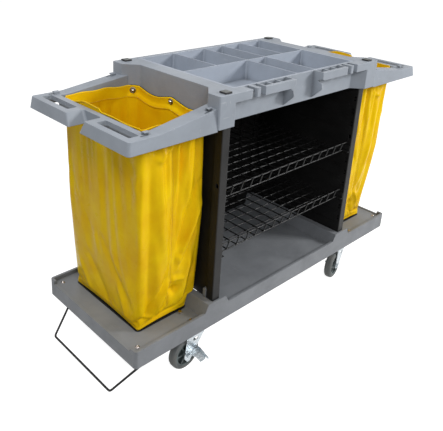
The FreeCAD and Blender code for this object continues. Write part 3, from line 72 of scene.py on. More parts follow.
class Graph:
    """A node tree of a material or a world, with short calls for its nodes and links."""

    def __init__(self, name: str, owner: Optional[bpy.types.ID] = None) -> None:
        """Start an empty node tree.

        Args:
            name: name of the material.
            owner: a world that takes the nodes in place of a new material.
        """
        self.owner = owner or bpy.data.materials.new(name)
        self.owner.use_nodes = True
        self.tree = self.owner.node_tree
        self.tree.nodes.clear()
        self.column = 0

    def node(self, kind: str, inputs: Optional[dict] = None, **settings) -> bpy.types.Node:
        """Add one node.

        Args:
            kind: node type without its ShaderNode prefix.
            inputs: socket name or number to a plain value or to an output socket.
            settings: attributes to set on the node.

        Returns:
            The new node.
        """
        made = self.tree.nodes.new("ShaderNode" + kind)
        made.location = (self.column * 190, -(self.column % 5) * 60)
        self.column += 1
        for key, value in settings.items():
            setattr(made, key, value)
        for key, value in (inputs or {}).items():
            socket = made.inputs[key]
            if isinstance(value, Socket):
                self.tree.links.new(value, socket)
            else:
                socket.default_value = value
        return made

    def place(self, scale: Numbers = (1, 1, 1), at: Numbers = (0, 0, 0),
              turn: Numbers = (0, 0, 0)) -> Socket:
        """Object coordinates through a Mapping node.

        Args:
            scale: stretch of the pattern along each axis.
            at: shift of the pattern.
            turn: rotation of the pattern in radians.

        Returns:
            The mapped vector.
        """
        coords = self.node("TexCoord").outputs["Object"]
        inputs = {"Vector": coords, "Location": at, "Rotation": turn, "Scale": scale}
        return self.node("Mapping", inputs).outputs[0]

    def noise(self, vector: Socket, scale: float, detail: float = 3.0,
              rough: float = 0.55, distortion: float = 0.0) -> Socket:
        """Value of a noise texture."""
        inputs = {"Vector": vector, "Scale": scale, "Detail": detail, "Roughness": rough,
                  "Distortion": distortion}
        return self.node("TexNoise", inputs).outputs[0]

    def span(self, value: Socket, low: float, high: float, to_low: float = 0.0,
             to_high: float = 1.0) -> Socket:
        """Map a value from one range to another, clamped."""
        names = ("Value", "From Min", "From Max", "To Min", "To Max")
        inputs = dict(zip(names, (value, low, high, to_low, to_high)))
        return self.node("MapRange", inputs).outputs[0]

    def maths(self, operation: str, first, second=0.0) -> Socket:
        """One Math node on values or sockets."""
        return self.node("Math", {0: first, 1: second}, operation=operation).outputs[0]

    def blend(self, factor, first, second) -> Socket:
        """Mix two colours by a factor."""
        made = self.node("Mix", data_type="RGBA")
        for index, value in ((0, factor), (6, first), (7, second)):
            if isinstance(value, Socket):
                self.tree.links.new(value, made.inputs[index])
            elif index == 0:
                made.inputs[0].default_value = value
            else:
                made.inputs[index].default_value = (*value, 1.0)
        return made.outputs[2]

    def bump(self, height: Socket, depth_mm: float, strength: float = 1.0,
             normal: Optional[Socket] = None) -> Socket:
        """Bump from a height of 0 to 1.

        Args:
            height: the height map.
            depth_mm: how deep the map reaches.
            strength: strength of the effect.
            normal: a normal that the bump works on.

        Returns:
            The bumped normal.
        """
        inputs = {"Height": height, "Distance": depth_mm * MM, "Strength": strength}
        if normal is not None:
            inputs["Normal"] = normal
        return self.node("Bump", inputs).outputs[0]

    def finish(self, shader: bpy.types.Node, output: str = "OutputMaterial") -> bpy.types.ID:
        """Link the shader to the output and return what owns the nodes."""
        self.tree.links.new(shader.outputs[0], self.node(output).inputs[0])
        return self.owner

    def principled(self, colour: Socket, rough: Socket,
                   normal: Socket, more: dict) -> bpy.types.Material:
        """Finish with a principled shader.

        Args:
            colour: the base colour.
            rough: the roughness.
            normal: the normal.
            more: further inputs by their names.

        Returns:
            The material.
        """
        inputs = {"Base Color": colour, "Roughness": rough, "Normal": normal, **more}
        return self.finish(self.node("BsdfPrincipled", inputs))


def upward(graph: Graph, low: float = 0.55, high: float = 0.95) -> Socket:
    """A factor that is 1 on surfaces that face up, where dust and scuffs gather."""
    normal = graph.node("NewGeometry").outputs["Normal"]
    up = graph.node("SeparateXYZ", {0: normal}).outputs[2]
    return graph.span(up, low, high)


# ------------------------------------------------------------------ finishes
@dataclass(frozen=True)
class Coat:
    """A material by its name and main colour; each kind paints its own nodes."""

    name: str
    colour: Rgb

    def build(self) -> bpy.types.Material:
        """Make the material.

        Returns:
            The new material.
        """
        graph = Graph(self.name)
        return self.paint(graph, graph.place())

    def paint(self, g: Graph, at: Socket) -> bpy.types.Material:
        """Draw the material's nodes.

        Args:
            g: the empty node tree.
            at: object coordinates.

        Returns:
            The finished material.
        """
        raise NotImplementedError


@dataclass(frozen=True)
class MouldedPlastic(Coat):
    """A grained moulded plastic with cloudy colour, scuffs and rubbed edges."""

    cloud: float = 0.10
    scuff: Rgb = (0.72, 0.73, 0.74)
    scuff_amount: float = 0.35
    rough: tuple[float, float] = (0.38, 0.56)
    grain_mm: float = 0.9
    grain_depth: float = 0.05
    ripple_depth: float = 0.25
    edge_mm: float = 1.6
    dust: float = 0.12
    gloss: float = 0.42
    # strength of the painted shade in corners, slots and gaps
    nook_shade: float = 0.75
    nook_reach: float = 0.035

    def paint(self, g: Graph, at: Socket) -> bpy.types.Material:
        """Draw the material's nodes."""
        cloud = g.noise(at, 7.0, 5.0, 0.6, 0.4)
        fine = g.noise(at, 90.0, 3.0)
        light = shaded(self.colour, 1 + self.cloud)
        base = g.blend(g.span(cloud, 0.35, 0.68), shaded(self.colour, 1 - self.cloud), light)
        base = g.blend(g.span(fine, 0.5, 0.75, 0.0, 0.25), base, light)
        # thin scratches in two directions, kept where the patches of wear are
        streak_a = g.noise(g.place((220, 9, 60), turn=(0, 0, 0.5)), 1.0, 2.0)
        streak_b = g.noise(g.place((10, 260, 80), turn=(0, 0, -0.3)), 1.0, 2.0)
        lines = g.maths("MAXIMUM", g.span(streak_a, 0.66, 0.74), g.span(streak_b, 0.68, 0.76))
        patch = g.span(g.noise(at, 11.0, 2.0), 0.5, 0.66, 0.0, self.scuff_amount)
        wear = g.maths("MULTIPLY", lines, patch)
        base = g.blend(wear, base, self.scuff)
        film = g.span(g.noise(at, 4.0, 4.0), 0.35, 0.7, 0.0, self.dust)
        base = g.blend(g.maths("MULTIPLY", upward(g), film), base, self.scuff)
        # painted shade: the colour darkens where the surface is occluded, in corners, slots and
        # gaps
        nook = g.node("AmbientOcclusion", {"Distance": self.nook_reach}, samples=6,
                      only_local=True).outputs[1]
        dirt_and_shade = g.span(nook, 0.15, 0.75, self.nook_shade, 0.0)
        base = g.blend(dirt_and_shade, base, shaded(self.colour, 0.16))
        grain = g.node("TexVoronoi", {"Vector": at, "Scale": 1000.0 / self.grain_mm},
                       feature="SMOOTH_F1").outputs[0]
        ripple = g.noise(at, 26.0, 2.0)
        edge = g.node("Bevel", {"Radius": self.edge_mm * MM}, samples=6).outputs[0]
        normal = g.bump(ripple, self.ripple_depth, 0.6, edge)
        normal = g.bump(grain, self.grain_depth, 0.5, normal)
        rough = g.span(g.noise(at, 15.0, 4.0), 0.3, 0.7, *self.rough)
        rough = g.maths("ADD", rough, g.maths("MULTIPLY", wear, 0.2))
        return g.principled(base, rough, normal, {"Specular IOR Level": self.gloss})


@dataclass(frozen=True)
class CoatedNylon(Coat):
    """Woven nylon with a glossy coat; the weave follows the piece's UV map, in metres."""

    deep: Rgb
    yarn_mm: float = 0.55
    rough: tuple[float, float] = (0.25, 0.38)
    crinkle: float = 1.0
    rip_pitch: float = 900.0
    gloss: float = 0.06

    def paint(self, g: Graph, at: Socket) -> bpy.types.Material:
        """Draw the material's nodes."""
        parts = g.node("SeparateXYZ", {0: g.node("TexCoord").outputs["UV"]}).outputs[:2]

        def waves(pitch: float) -> list[Socket]:
            """Sine waves across and along the cloth."""
            return [g.maths("SINE", g.maths("MULTIPLY", part, pitch)) for part in parts]

        weave = g.maths("MULTIPLY", *waves(math.pi * 1000.0 / self.yarn_mm))
        rip = g.maths("MAXIMUM", *(g.span(wave, 0.93, 1.0) for wave in waves(self.rip_pitch)))
        cloud = g.noise(at, 9.0, 4.0, 0.6, 0.3)
        base = g.blend(g.span(cloud, 0.3, 0.7), self.deep, self.colour)
        base = g.blend(g.maths("MULTIPLY", rip, 0.10), base, shaded(self.colour, 1.15, 0.02))
        base = g.blend(g.span(weave, -1, 1, 0.10, 0.0), base, self.deep)
        # rubbed, slightly paler coating in small soft patches
        rub = g.span(g.noise(g.place((12, 12, 9)), 1.0, 5.0), 0.58, 0.8, 0.0, 0.12)
        base = g.blend(rub, base, shaded(self.colour, 1.1, 0.012))
        small = g.noise(g.place((1, 1, 0.55)), 38.0, 4.0, 0.55, 0.6)
        broad = g.noise(g.place((1, 1, 0.35), at=(3, 1, 2)), 13.0, 3.0, 0.5, 0.8)
        normal = g.bump(broad, 3.2 * self.crinkle, 0.55)
        normal = g.bump(small, 0.9 * self.crinkle, 0.5, normal)
        normal = g.bump(g.span(weave, -1, 1), 0.06, 0.4, normal)
        rough = g.span(g.noise(at, 30.0, 3.0), 0.3, 0.7, *self.rough)
        return g.principled(base, rough, normal, {"Specular IOR Level": self.gloss})


@dataclass(frozen=True)
class PlatedMetal(Coat):
    """Plated steel with soft blotches of zinc and fine brushing."""

    shade: Rgb
    rough: tuple[float, float] = (0.22, 0.42)
    brush: Numbers = (8, 8, 300)
    tarnish: Rgb = (0.32, 0.30, 0.27)
    tarnish_amount: float = 0.15
    edge_mm: float = 0.6

    def paint(self, g: Graph, at: Socket) -> bpy.types.Material:
        """Draw the material's nodes."""
        spangle = g.node("TexVoronoi", {"Vector": at, "Scale": 140.0}).outputs[0]
        cloud = g.noise(at, 30.0, 4.0)
        base = g.blend(g.span(spangle, 0.1, 0.8), self.colour, self.shade)
        spot = g.span(cloud, 0.56, 0.72, 0.0, self.tarnish_amount)
        base = g.blend(spot, base, self.tarnish)
        lines = g.noise(g.place(self.brush), 6.0, 2.0)
        edge = g.node("Bevel", {"Radius": self.edge_mm * MM}, samples=4).outputs[0]
        normal = g.bump(lines, 0.05, 0.5, edge)
        normal = g.bump(cloud, 0.12, 0.4, normal)
        rough = g.span(lines, 0.3, 0.7, *self.rough)
        return g.principled(base, rough, normal, {"Metallic": 1.0})


@dataclass(frozen=True)
class Rubber(Coat):
    """Tyre rubber: matt, mottled, with floor dirt on it."""

    dirt_and_shade: Rgb

    def paint(self, g: Graph, at: Socket) -> bpy.types.Material:
        """Draw the material's nodes."""
        blot = g.noise(at, 28.0, 5.0, 0.6)
        base = g.blend(g.span(blot, 0.42, 0.68, 0.0, 0.7), self.colour, self.dirt_and_shade)
        speck = g.span(g.noise(at, 420.0, 2.0), 0.62, 0.72, 0.0, 0.35)
        base = g.blend(speck, base, shaded(self.dirt_and_shade, 0.45))
        edge = g.node("Bevel", {"Radius": 1.2 * MM}, samples=4).outputs[0]
        normal = g.bump(g.noise(at, 300.0, 3.0), 0.12, 0.6, edge)
        rough = g.span(blot, 0.3, 0.7, 0.55, 0.8)
        return g.principled(base, rough, normal, {"IOR": 1.5})


@dataclass(frozen=True)
class CoatedWire(Coat):
    """Plastic-coated or painted wire with small runs and nicks in the coat."""

    nick: Rgb = (0.10, 0.10, 0.10)
    rough: tuple[float, float] = (0.28, 0.5)

    def paint(self, g: Graph, at: Socket) -> bpy.types.Material:
        """Draw the material's nodes."""
        spots = g.noise(at, 160.0, 3.0)
        base = g.blend(g.span(spots, 0.6, 0.75, 0.0, 0.6), self.colour, self.nick)
        normal = g.bump(g.noise(at, 240.0, 3.0), 0.15, 0.6)
        rough = g.span(g.noise(at, 40.0, 2.0), 0.3, 0.7, *self.rough)
        return g.principled(base, rough, normal, {"Specular IOR Level": 0.3})


@dataclass(frozen=True)
class SewingThread(Coat):
    """Twisted polyester thread."""

    def paint(self, g: Graph, at: Socket) -> bpy.types.Material:
        """Draw the material's nodes."""
        twist = g.node("TexWave", {"Vector": at, "Scale": 900.0, "Distortion": 2.0},
                       bands_direction="DIAGONAL").outputs[1]
        base = g.blend(g.span(twist, 0, 1, 0.0, 0.45), self.colour, shaded(self.colour, 0.6))
        rough = g.span(twist, 0, 1, 0.55, 0.75)
        return g.principled(base, rough, g.bump(twist, 0.08, 0.6), {"Sheen Weight": 0.3})


YELLOW: tuple[Rgb, Rgb] = ((0.90, 0.615, 0.004), (0.78, 0.440, 0.002))


class Finish(Enum):
    """Every finish of the cart by the maker's name for it."""

    BASE = MouldedPlastic("base_plastic", (0.198, 0.208, 0.223), cloud=0.12,
                          scuff=(0.44, 0.45, 0.46), dust=0.16, rough=(0.42, 0.62), grain_mm=1.2,
                          grain_depth=0.09, ripple_depth=0.35, edge_mm=2.2)
    TOP = MouldedPlastic("top_plastic", (0.272, 0.300, 0.340), cloud=0.09,
                         scuff=(0.62, 0.63, 0.65), edge_mm=2.0)
    TRAY = MouldedPlastic("tray_plastic", (0.340, 0.378, 0.440), cloud=0.08,
                          scuff=(0.60, 0.62, 0.65), edge_mm=1.6, scuff_amount=0.28)
    PANEL = MouldedPlastic("panel_plastic", (0.0085, 0.0082, 0.0080), cloud=0.25,
                           scuff=(0.07, 0.07, 0.07), scuff_amount=0.3, rough=(0.36, 0.52),
                           dust=0.05, edge_mm=1.4, gloss=0.22)
    CAP = MouldedPlastic("cap_plastic", (0.014, 0.014, 0.015), cloud=0.2,
                         scuff=(0.10, 0.10, 0.10), edge_mm=0.8, gloss=0.3)
    PAD = MouldedPlastic("cap_inlay", (0.085, 0.090, 0.085), cloud=0.2, scuff=(0.2, 0.2, 0.2),
                         grain_mm=2.0, grain_depth=0.15, edge_mm=0.4)
    BOARD = MouldedPlastic("base_board", (0.008, 0.008, 0.008), cloud=0.3,
                           scuff=(0.06, 0.06, 0.06), edge_mm=0.8, gloss=0.2)
    CLIP = MouldedPlastic("clip_plastic", (0.010, 0.010, 0.010), cloud=0.2,
                          scuff=(0.08, 0.08, 0.08), edge_mm=0.5, gloss=0.25)
    NYLON = CoatedNylon("coated_nylon", *YELLOW)
    HEM = CoatedNylon("hem_nylon", *YELLOW, crinkle=0.6)
    # near-black tube along the rim by the end wall: painted shade of the gap there
    BINDING = CoatedNylon("rim_gap_shade", (0.016, 0.016, 0.016), (0.008, 0.008, 0.008),
                          yarn_mm=1.0, rough=(0.5, 0.7))
    THREAD = SewingThread("yellow_thread", (0.72, 0.47, 0.02))
    EYELET = PlatedMetal("eyelet_plate", (0.36, 0.35, 0.34), (0.20, 0.19, 0.18),
                         tarnish_amount=0.4)
    STUD = PlatedMetal("stud_chrome", (0.52, 0.52, 0.53), (0.34, 0.34, 0.35), rough=(0.10, 0.2),
                       brush=(3, 3, 3), tarnish_amount=0.1)
    ZINC = PlatedMetal("bright_zinc", (0.62, 0.66, 0.68), (0.40, 0.44, 0.47))
    STEEL = PlatedMetal("bolt_steel", (0.55, 0.47, 0.36), (0.40, 0.33, 0.25),
                        tarnish=(0.20, 0.13, 0.07), tarnish_amount=0.5)
    SCREW = PlatedMetal("screw_plate", (0.50, 0.46, 0.43), (0.34, 0.30, 0.28), rough=(0.14, 0.28))
    WIRE = CoatedWire("wire_coat", (0.006, 0.006, 0.006), nick=(0.05, 0.05, 0.05))
    HUB = MouldedPlastic("hub_plastic", (0.085, 0.110, 0.110), cloud=0.2,
                         scuff=(0.25, 0.26, 0.26), edge_mm=1.0)
    TYRE = Rubber("tyre_rubber", (0.120, 0.130, 0.130), (0.175, 0.170, 0.155))

    def material(self) -> bpy.types.Material:
        """The finish's material, made the first time that it is asked for."""
        return bpy.data.materials.get(self.value.name) or self.value.build()


def dress(piece: Piece, finish: Finish) -> None:
    """Give a piece one finish on all its faces.

    Args:
        piece: the object.
        finish: its finish.
    """
    if piece.material_slots:
        for slot in piece.material_slots:
            slot.link = "OBJECT"
            slot.material = finish.material()
    else:
        piece.data.materials.append(finish.material())


# ------------------------------------------------------------------ mesh helpers
class Skin:
    """A skin drawn up ring by ring: each ring is extruded from the last and moved into place."""

    def __init__(self, points: Line, closed: bool = True) -> None:
        """Start with one ring or one open row.

        Args:
            points: places of the first ring's vertices.
            closed: True for a ring, False for an open row.
        """
        self.mesh = bmesh.new()
        self.closed = closed
        made = bmesh.ops.create_circle(self.mesh, segments=len(points), radius=1.0)
        self.row = list(made["verts"])
        if not closed:
            gap = self.mesh.edges.get((self.row[-1], self.row[0]))
            bmesh.ops.delete(self.mesh, geom=[gap], context="EDGES")
        self.rows = [self.row]
        self.move(points)

    def move(self, points: Line) -> None:
        """Put the newest row's vertices in their places."""
        for vert, point in zip(self.row, points):
            vert.co = point

    def edges(self) -> list:
        """Edges of the newest row."""
        pairs = zip(self.row, self.row[1:] + ([self.row[0]] if self.closed else []))
        return [self.mesh.edges.get(pair) for pair in pairs]

    def draw(self, points: Line) -> "Skin":
        """Extrude the newest row to new places.

        Args:
            points: places of the next row.

        Returns:
            The skin itself.
        """
        old = self.row
        made = bmesh.ops.extrude_edge_only(self.mesh, edges=self.edges())
        fresh = {item for item in made["geom"] if isinstance(item, bmesh.types.BMVert)}
        self.row = [next(e.other_vert(v) for e in v.link_edges if e.other_vert(v) in fresh)
                    for v in old]
        self.rows.append(self.row)
        self.move(points)
        return self

    def cap(self) -> None:
        """Close both ends with a face."""
        for row in (self.rows[0], self.rows[-1]):
            bmesh.ops.contextual_create(self.mesh, geom=row)

    def unwrap(self, across: Callable[[int], float], up: Callable[[int], float]) -> dict:
        """Give a skin of closed rings a UV map in metres.

        Args:
            across: length round the ring at a column.
            up: length up the skin at a row.

        Returns:
            Row and column of every vertex.
        """
        layer = self.mesh.loops.layers.uv.new("UVMap")
        spot = {vert: (k, i) for k, row in enumerate(self.rows) for i, vert in enumerate(row)}
        count = len(self.rows[0])
        for face in self.mesh.faces:
            seam = len({spot[v][1] for v in face.verts} & {0, count - 1}) == 2
            for loop in face.loops:
                k, i = spot[loop.vert]
                loop[layer].uv = (across(count if seam and i == 0 else i), up(k))
        return spot


def outward(mesh: Mesh) -> None:
    """Make the faces of a closed mesh point outwards."""
    bmesh.ops.remove_doubles(mesh, verts=mesh.verts, dist=1e-6)
    bmesh.ops.recalc_face_normals(mesh, faces=mesh.faces)


def to_object(mesh: Mesh, name: str, smooth: bool = True) -> Piece:
    """Turn a bmesh into a linked object at the origin.

    Args:
        mesh: the bmesh, which is freed.
        name: name of the piece.
        smooth: True for smooth shading.

    Returns:
        The object.
    """
    data = bpy.data.meshes.new(name)
    mesh.to_mesh(data)
    mesh.free()
    data.polygons.foreach_set("use_smooth", [smooth] * len(data.polygons))
    made = bpy.data.objects.new(name, data)
    bpy.context.scene.collection.objects.link(made)
    return made


def tube_rings(points: Line, radius: float, sides: int) -> list[list[Vector]]:
    """Rings of a round tube along a line of points.

    Args:
        points: the line.
        radius: radius of the tube.
        sides: vertices in each ring.

    Returns:
        One ring of places for each point.
    """
    rings, up = [], None
    for i, point in enumerate(points):
        ahead = (points[min(i + 1, len(points) - 1)] - points[max(i - 1, 0)]).normalized()
        if up is None:
            up = ahead.orthogonal().normalized()
        side = ahead.cross(up).normalized()
        up = side.cross(ahead).normalized()
        turns = [2 * math.pi * k / sides for k in range(sides)]
        rings.append([point + (up * math.cos(t) + side * math.sin(t)) * radius for t in turns])
    return rings


def tube(points: Line, radius: float, name: str, sides: int = 8,
         closed: bool = False) -> Piece:
    """A round tube along a line of points.

    Args:
        points: the line.
        radius: radius of the tube.
        name: name of the piece.
        sides: vertices round the tube.
        closed: True where the line returns to its start.

    Returns:
        The tube's object.
    """
    rings = tube_rings(points, radius, sides)
    skin = Skin(rings[0])
    for ring in rings[1:] + (rings[:1] if closed else []):
        skin.draw(ring)
    if not closed:
        skin.cap()
    outward(skin.mesh)
    return to_object(skin.mesh, name)


def bake(piece: Piece) -> Piece:
    """Apply a piece's modifiers to its mesh."""
    graph = bpy.context.evaluated_depsgraph_get()
    data = bpy.data.meshes.new_from_object(
        piece.evaluated_get(graph), preserve_all_data_layers=True, depsgraph=graph)
    piece.modifiers.clear()
    piece.data = data
    return piece


def join(pieces: Sequence[Piece], name: str) -> Piece:
    """Join meshes at the origin into one piece.

    Args:
        pieces: the objects, which are removed.
        name: name of the joined piece.

    Returns:
        The joined object.
    """
    whole = bmesh.new()
    for piece in pieces:
        whole.from_mesh(piece.data)
        data = piece.data
        bpy.data.objects.remove(piece)
        bpy.data.meshes.remove(data)
    return to_object(whole, name)


def mirror(piece: Piece) -> None:
    """Turn a piece of the left end into one of the right end."""
    mesh = bmesh.new()
    mesh.from_mesh(piece.data)
    bmesh.ops.scale(mesh, verts=mesh.verts, vec=(-1, 1, 1))
    bmesh.ops.reverse_faces(mesh, faces=mesh.faces)
    mesh.to_mesh(piece.data)
    mesh.free()


def smoothstep(value: float, low: float, high: float) -> float:
    """0 below low, 1 above high and smooth between them."""
    t = min(1.0, max(0.0, (value - low) / (high - low)))
    return t * t * (3 - 2 * t)


# ------------------------------------------------------------------ bags
class Side(Enum):
    """Sides of a bag, in the order in which its rings go round."""

    OUTER = 0
    FRONT = 1
    FRONT_BEVEL = 2
    INNER = 3
    REAR_BEVEL = 4
    REAR = 5


@dataclass(frozen=True)
class Crease:
    """A pulled line in the cloth between two points of one side.

    A point is the share of the side's width from its first corner, and the height in metres.
    """

    side: Side
    start: tuple[float, float]
    end: tuple[float, float]
    width: float
    lift: float
    crisp: float = 0.5

    def at(self, share: float, height: float, width: float) -> float:
        """How far the crease lifts the cloth at a point.

        Args:
            share: share of the side's width.
            height: height of the point.
            width: the side's width there in metres.

        Returns:
            Lift in metres, outwards.
        """
        ax, az = self.start[0] * width, self.start[1]
        bx, bz = self.end[0] * width, self.end[1]
        px, pz = share * width, height
        run = (bx - ax) ** 2 + (bz - az) ** 2
        t = ((px - ax) * (bx - ax) + (pz - az) * (bz - az)) / run
        k = min(1.0, max(0.0, t))
        off = math.hypot(px - ax - k * (bx - ax), pz - az - k * (bz - az)) / self.width
        fade = smoothstep(t, -0.15, 0.22) * (1 - smoothstep(t, 0.78, 1.15))
        soft = math.exp(-off * off)
        sharp = math.exp(-1.6 * off)
        return self.lift * fade * (soft * (1 - self.crisp) + sharp * self.crisp)


# folds: start and end point, width in metres, lift in millimetres and crispness
FRONT_FOLDS = (
    # the pulled outer corner and the trough beside it
    ((0.17, 0.90), (0.16, 0.26), 0.020, -7, 0.15),
    ((0.33, 0.80), (0.27, 0.30), 0.030, 6, 0.15),
    # gathers under the arm
    ((0.20, 0.865), (0.45, 0.915), 0.013, -6, 0.5),
    ((0.24, 0.835), (0.50, 0.885), 0.014, 5.5, 0.5),
    ((0.42, 0.94), (0.38, 0.70), 0.012, -4.5, 0.4),
    ((0.57, 0.94), (0.55, 0.72), 0.012, 6, 0.4),
    ((0.66, 0.94), (0.60, 0.74), 0.011, -5, 0.5),
    ((0.76, 0.94), (0.74, 0.66), 0.020, 6.5, 0.3),
    ((0.90, 0.93), (0.88, 0.72), 0.012, -5, 0.4),
    # the seam's pucker
    ((0.49, 0.93), (0.48, 0.24), 0.006, -2.6, 0.8),
    # long pulls from the inner edge down to the seam
    ((0.95, 0.735), (0.56, 0.505), 0.014, -8, 0.6),
    ((0.98, 0.66), (0.60, 0.455), 0.020, 7, 0.4),
    ((0.92, 0.58), (0.58, 0.40), 0.012, -4.5, 0.6),
    ((0.64, 0.47), (0.60, 0.405), 0.016, 5, 0.3),
    ((0.50, 0.385), (0.72, 0.375), 0.010, 4.5, 0.8),
    ((0.50, 0.345), (0.64, 0.325), 0.020, -8, 0.5),
    ((0.80, 0.46), (0.70, 0.26), 0.016, 6, 0.5),
    ((0.92, 0.40), (0.84, 0.25), 0.012, -5, 0.4),
    # pulls that run down to the foot's outer corner
    ((0.46, 0.385), (0.18, 0.245), 0.013, 6, 0.6),
    ((0.42, 0.41), (0.10, 0.26), 0.015, -5.5, 0.5),
    ((0.46, 0.31), (0.30, 0.235), 0.010, -4, 0.5),
    ((0.36, 0.62), (0.42, 0.44), 0.014, 3.5, 0.4),
)
# faint pulls of the outer side, which hangs almost flat
OUTER_FOLDS = (
    ((0.66, 0.93), (0.95, 0.80), 0.020, -4, 0.5),
    ((0.72, 0.90), (0.99, 0.74), 0.026, 3.5, 0.4),
    ((0.38, 0.90), (0.52, 0.62), 0.030, 3, 0.2),
    ((0.04, 0.70), (0.36, 0.50), 0.014, -3.5, 0.6),
    ((0.08, 0.66), (0.48, 0.45), 0.020, 3, 0.4),
    ((0.48, 0.52), (0.92, 0.30), 0.018, -3.5, 0.5),
    ((0.56, 0.50), (0.95, 0.36), 0.024, 3, 0.3),
    ((0.25, 0.42), (0.60, 0.25), 0.020, -3, 0.4),
    ((0.12, 0.36), (0.30, 0.25), 0.014, 2.5, 0.4),
    ((0.72, 0.38), (0.88, 0.24), 0.014, 3, 0.5),
)
# the rear side has a mirrored half of the front's folds: lower, wider and flatter
REAR_DROP, REAR_WIDER, REAR_FLATTER = 0.015, 1.15, 0.8


def creases(side: Side, folds: Sequence[tuple]) -> list[Crease]:
    """Creases of one side from its table of folds."""
    return [Crease(side, start, end, width, lift * MM, crisp)
            for start, end, width, lift, crisp in folds]


def all_creases() -> list[Crease]:
    """Creases of the front, the outer and the rear side."""
    front = creases(Side.FRONT, FRONT_FOLDS)
    rear = [Crease(Side.REAR, (1 - c.start[0], c.start[1] - REAR_DROP),
                   (1 - c.end[0], c.end[1] - REAR_DROP),
                   c.width * REAR_WIDER, c.lift * REAR_FLATTER, c.crisp) for c in front[1::2]]
    return front + creases(Side.OUTER, OUTER_FOLDS) + rear


@dataclass
class Level:
    """Section of the left bag at one height: walls, half depths, shift and corner shapes."""

    z: float
    out_x: float
    in_x: float
    half_in: float
    half_out: float
    shift: float
    corner: float
    bevel: float

    def between(self, other: "Level", z: float) -> "Level":
        """A section between this one and another."""
        t = (z - self.z) / (other.z - self.z)
        pairs = zip(astuple(self)[1:], astuple(other)[1:])
        return Level(z, *(a + t * (b - a) for a, b in pairs))

    def ring(self, shares: Sequence[tuple[Side, float]], inset: float) -> list[Vector]:
        """Places round the section.

        Args:
            shares: side and share of its width for each vertex.
            inset: how far the ring lies inside the section.

        Returns:
            The places, from the rear of the outer side round the front to the rear side.
        """
        lean = self.bevel + inset * math.tan(math.pi / 8)
        ox, ix = -self.out_x + inset, -self.in_x - inset
        fo, ro = self.shift - self.half_out + inset, self.shift + self.half_out - inset
        fi, ri = self.shift - self.half_in + inset, self.shift + self.half_in - inset
        plan = ((ox, ro), (ox, fo), (ix - lean, fi), (ix, fi + lean), (ix, ri - lean),
                (ix - lean, ri))
        corners = [Vector((x, y, self.z)) for x, y in plan]
        radius = max(0.001, self.corner - inset)
        return [self.rounded(corners, side.value, share, radius) for side, share in shares]

    def rounded(self, corners: list[Vector], index: int, share: float, radius: float) -> Vector:
        """A point on one side, drawn in where the side runs into a round outer corner."""
        a, b = corners[index], corners[(index + 1) % 6]
        point = a.lerp(b, share)
        for corner, before in ((corners[0], corners[5]), (corners[1], corners[2])):
            away = (point - corner).length
            if away < radius and (a == corner or b == corner):
                one = (before - corner).normalized()
                other = (corners[1] if corner == corners[0] else corners[0]) - corner
                middle = corner + (one + other.normalized()) * radius
                off = point - middle
                point = middle + off.normalized() * min(radius, off.length)
        return point


@dataclass(frozen=True)
class Wave:
    """A slow wobble of the cloth from noise."""

    across: float
    step: float
    up: float
    seed: float
    height: float
    swells: bool

    def at(self, along: float, side: Side, z: float, seed: int) -> float:
        """Noise of the wave at a point, without its height."""
        return noise.noise(Vector((along * self.across + self.step * side.value, z * self.up,
                                   seed * self.seed)))


@dataclass(frozen=True)
class Hang:
    """How the cloth is let hang, and how far it may move."""

    frames: int = 14
    quality: int = 5
    mass: float = 0.12
    air: float = 3.0
    stiff: float = 22
    shear: float = 8
    bending: float = 1.6
    damping: float = 18
    shrink: float = -0.003
    reach: float = 9 * MM
    panel_x: float = -0.44
    panel_share: float = 0.2


BEVELS_AND_INNER = (Side.INNER, Side.FRONT_BEVEL, Side.REAR_BEVEL)
# y from and to of the sides that hang on the end wall
WALL_SPAN = {Side.INNER: (-0.175, 0.175), Side.FRONT_BEVEL: (-0.204, -0.175),
             Side.REAR_BEVEL: (0.175, 0.204)}
# how far each side bellies out, in millimetres
BELLY = {Side.OUTER: -3.0, Side.FRONT: 2.0, Side.REAR: 2.0}
FLOOR_REACHES = (0.04, 0.2, 0.4, 0.6, 0.8, 0.93)
WAVES = (Wave(16, 7, 4.5, 3.1, 1.9, True), Wave(44, 3, 13, 5.7, 0.7, False))


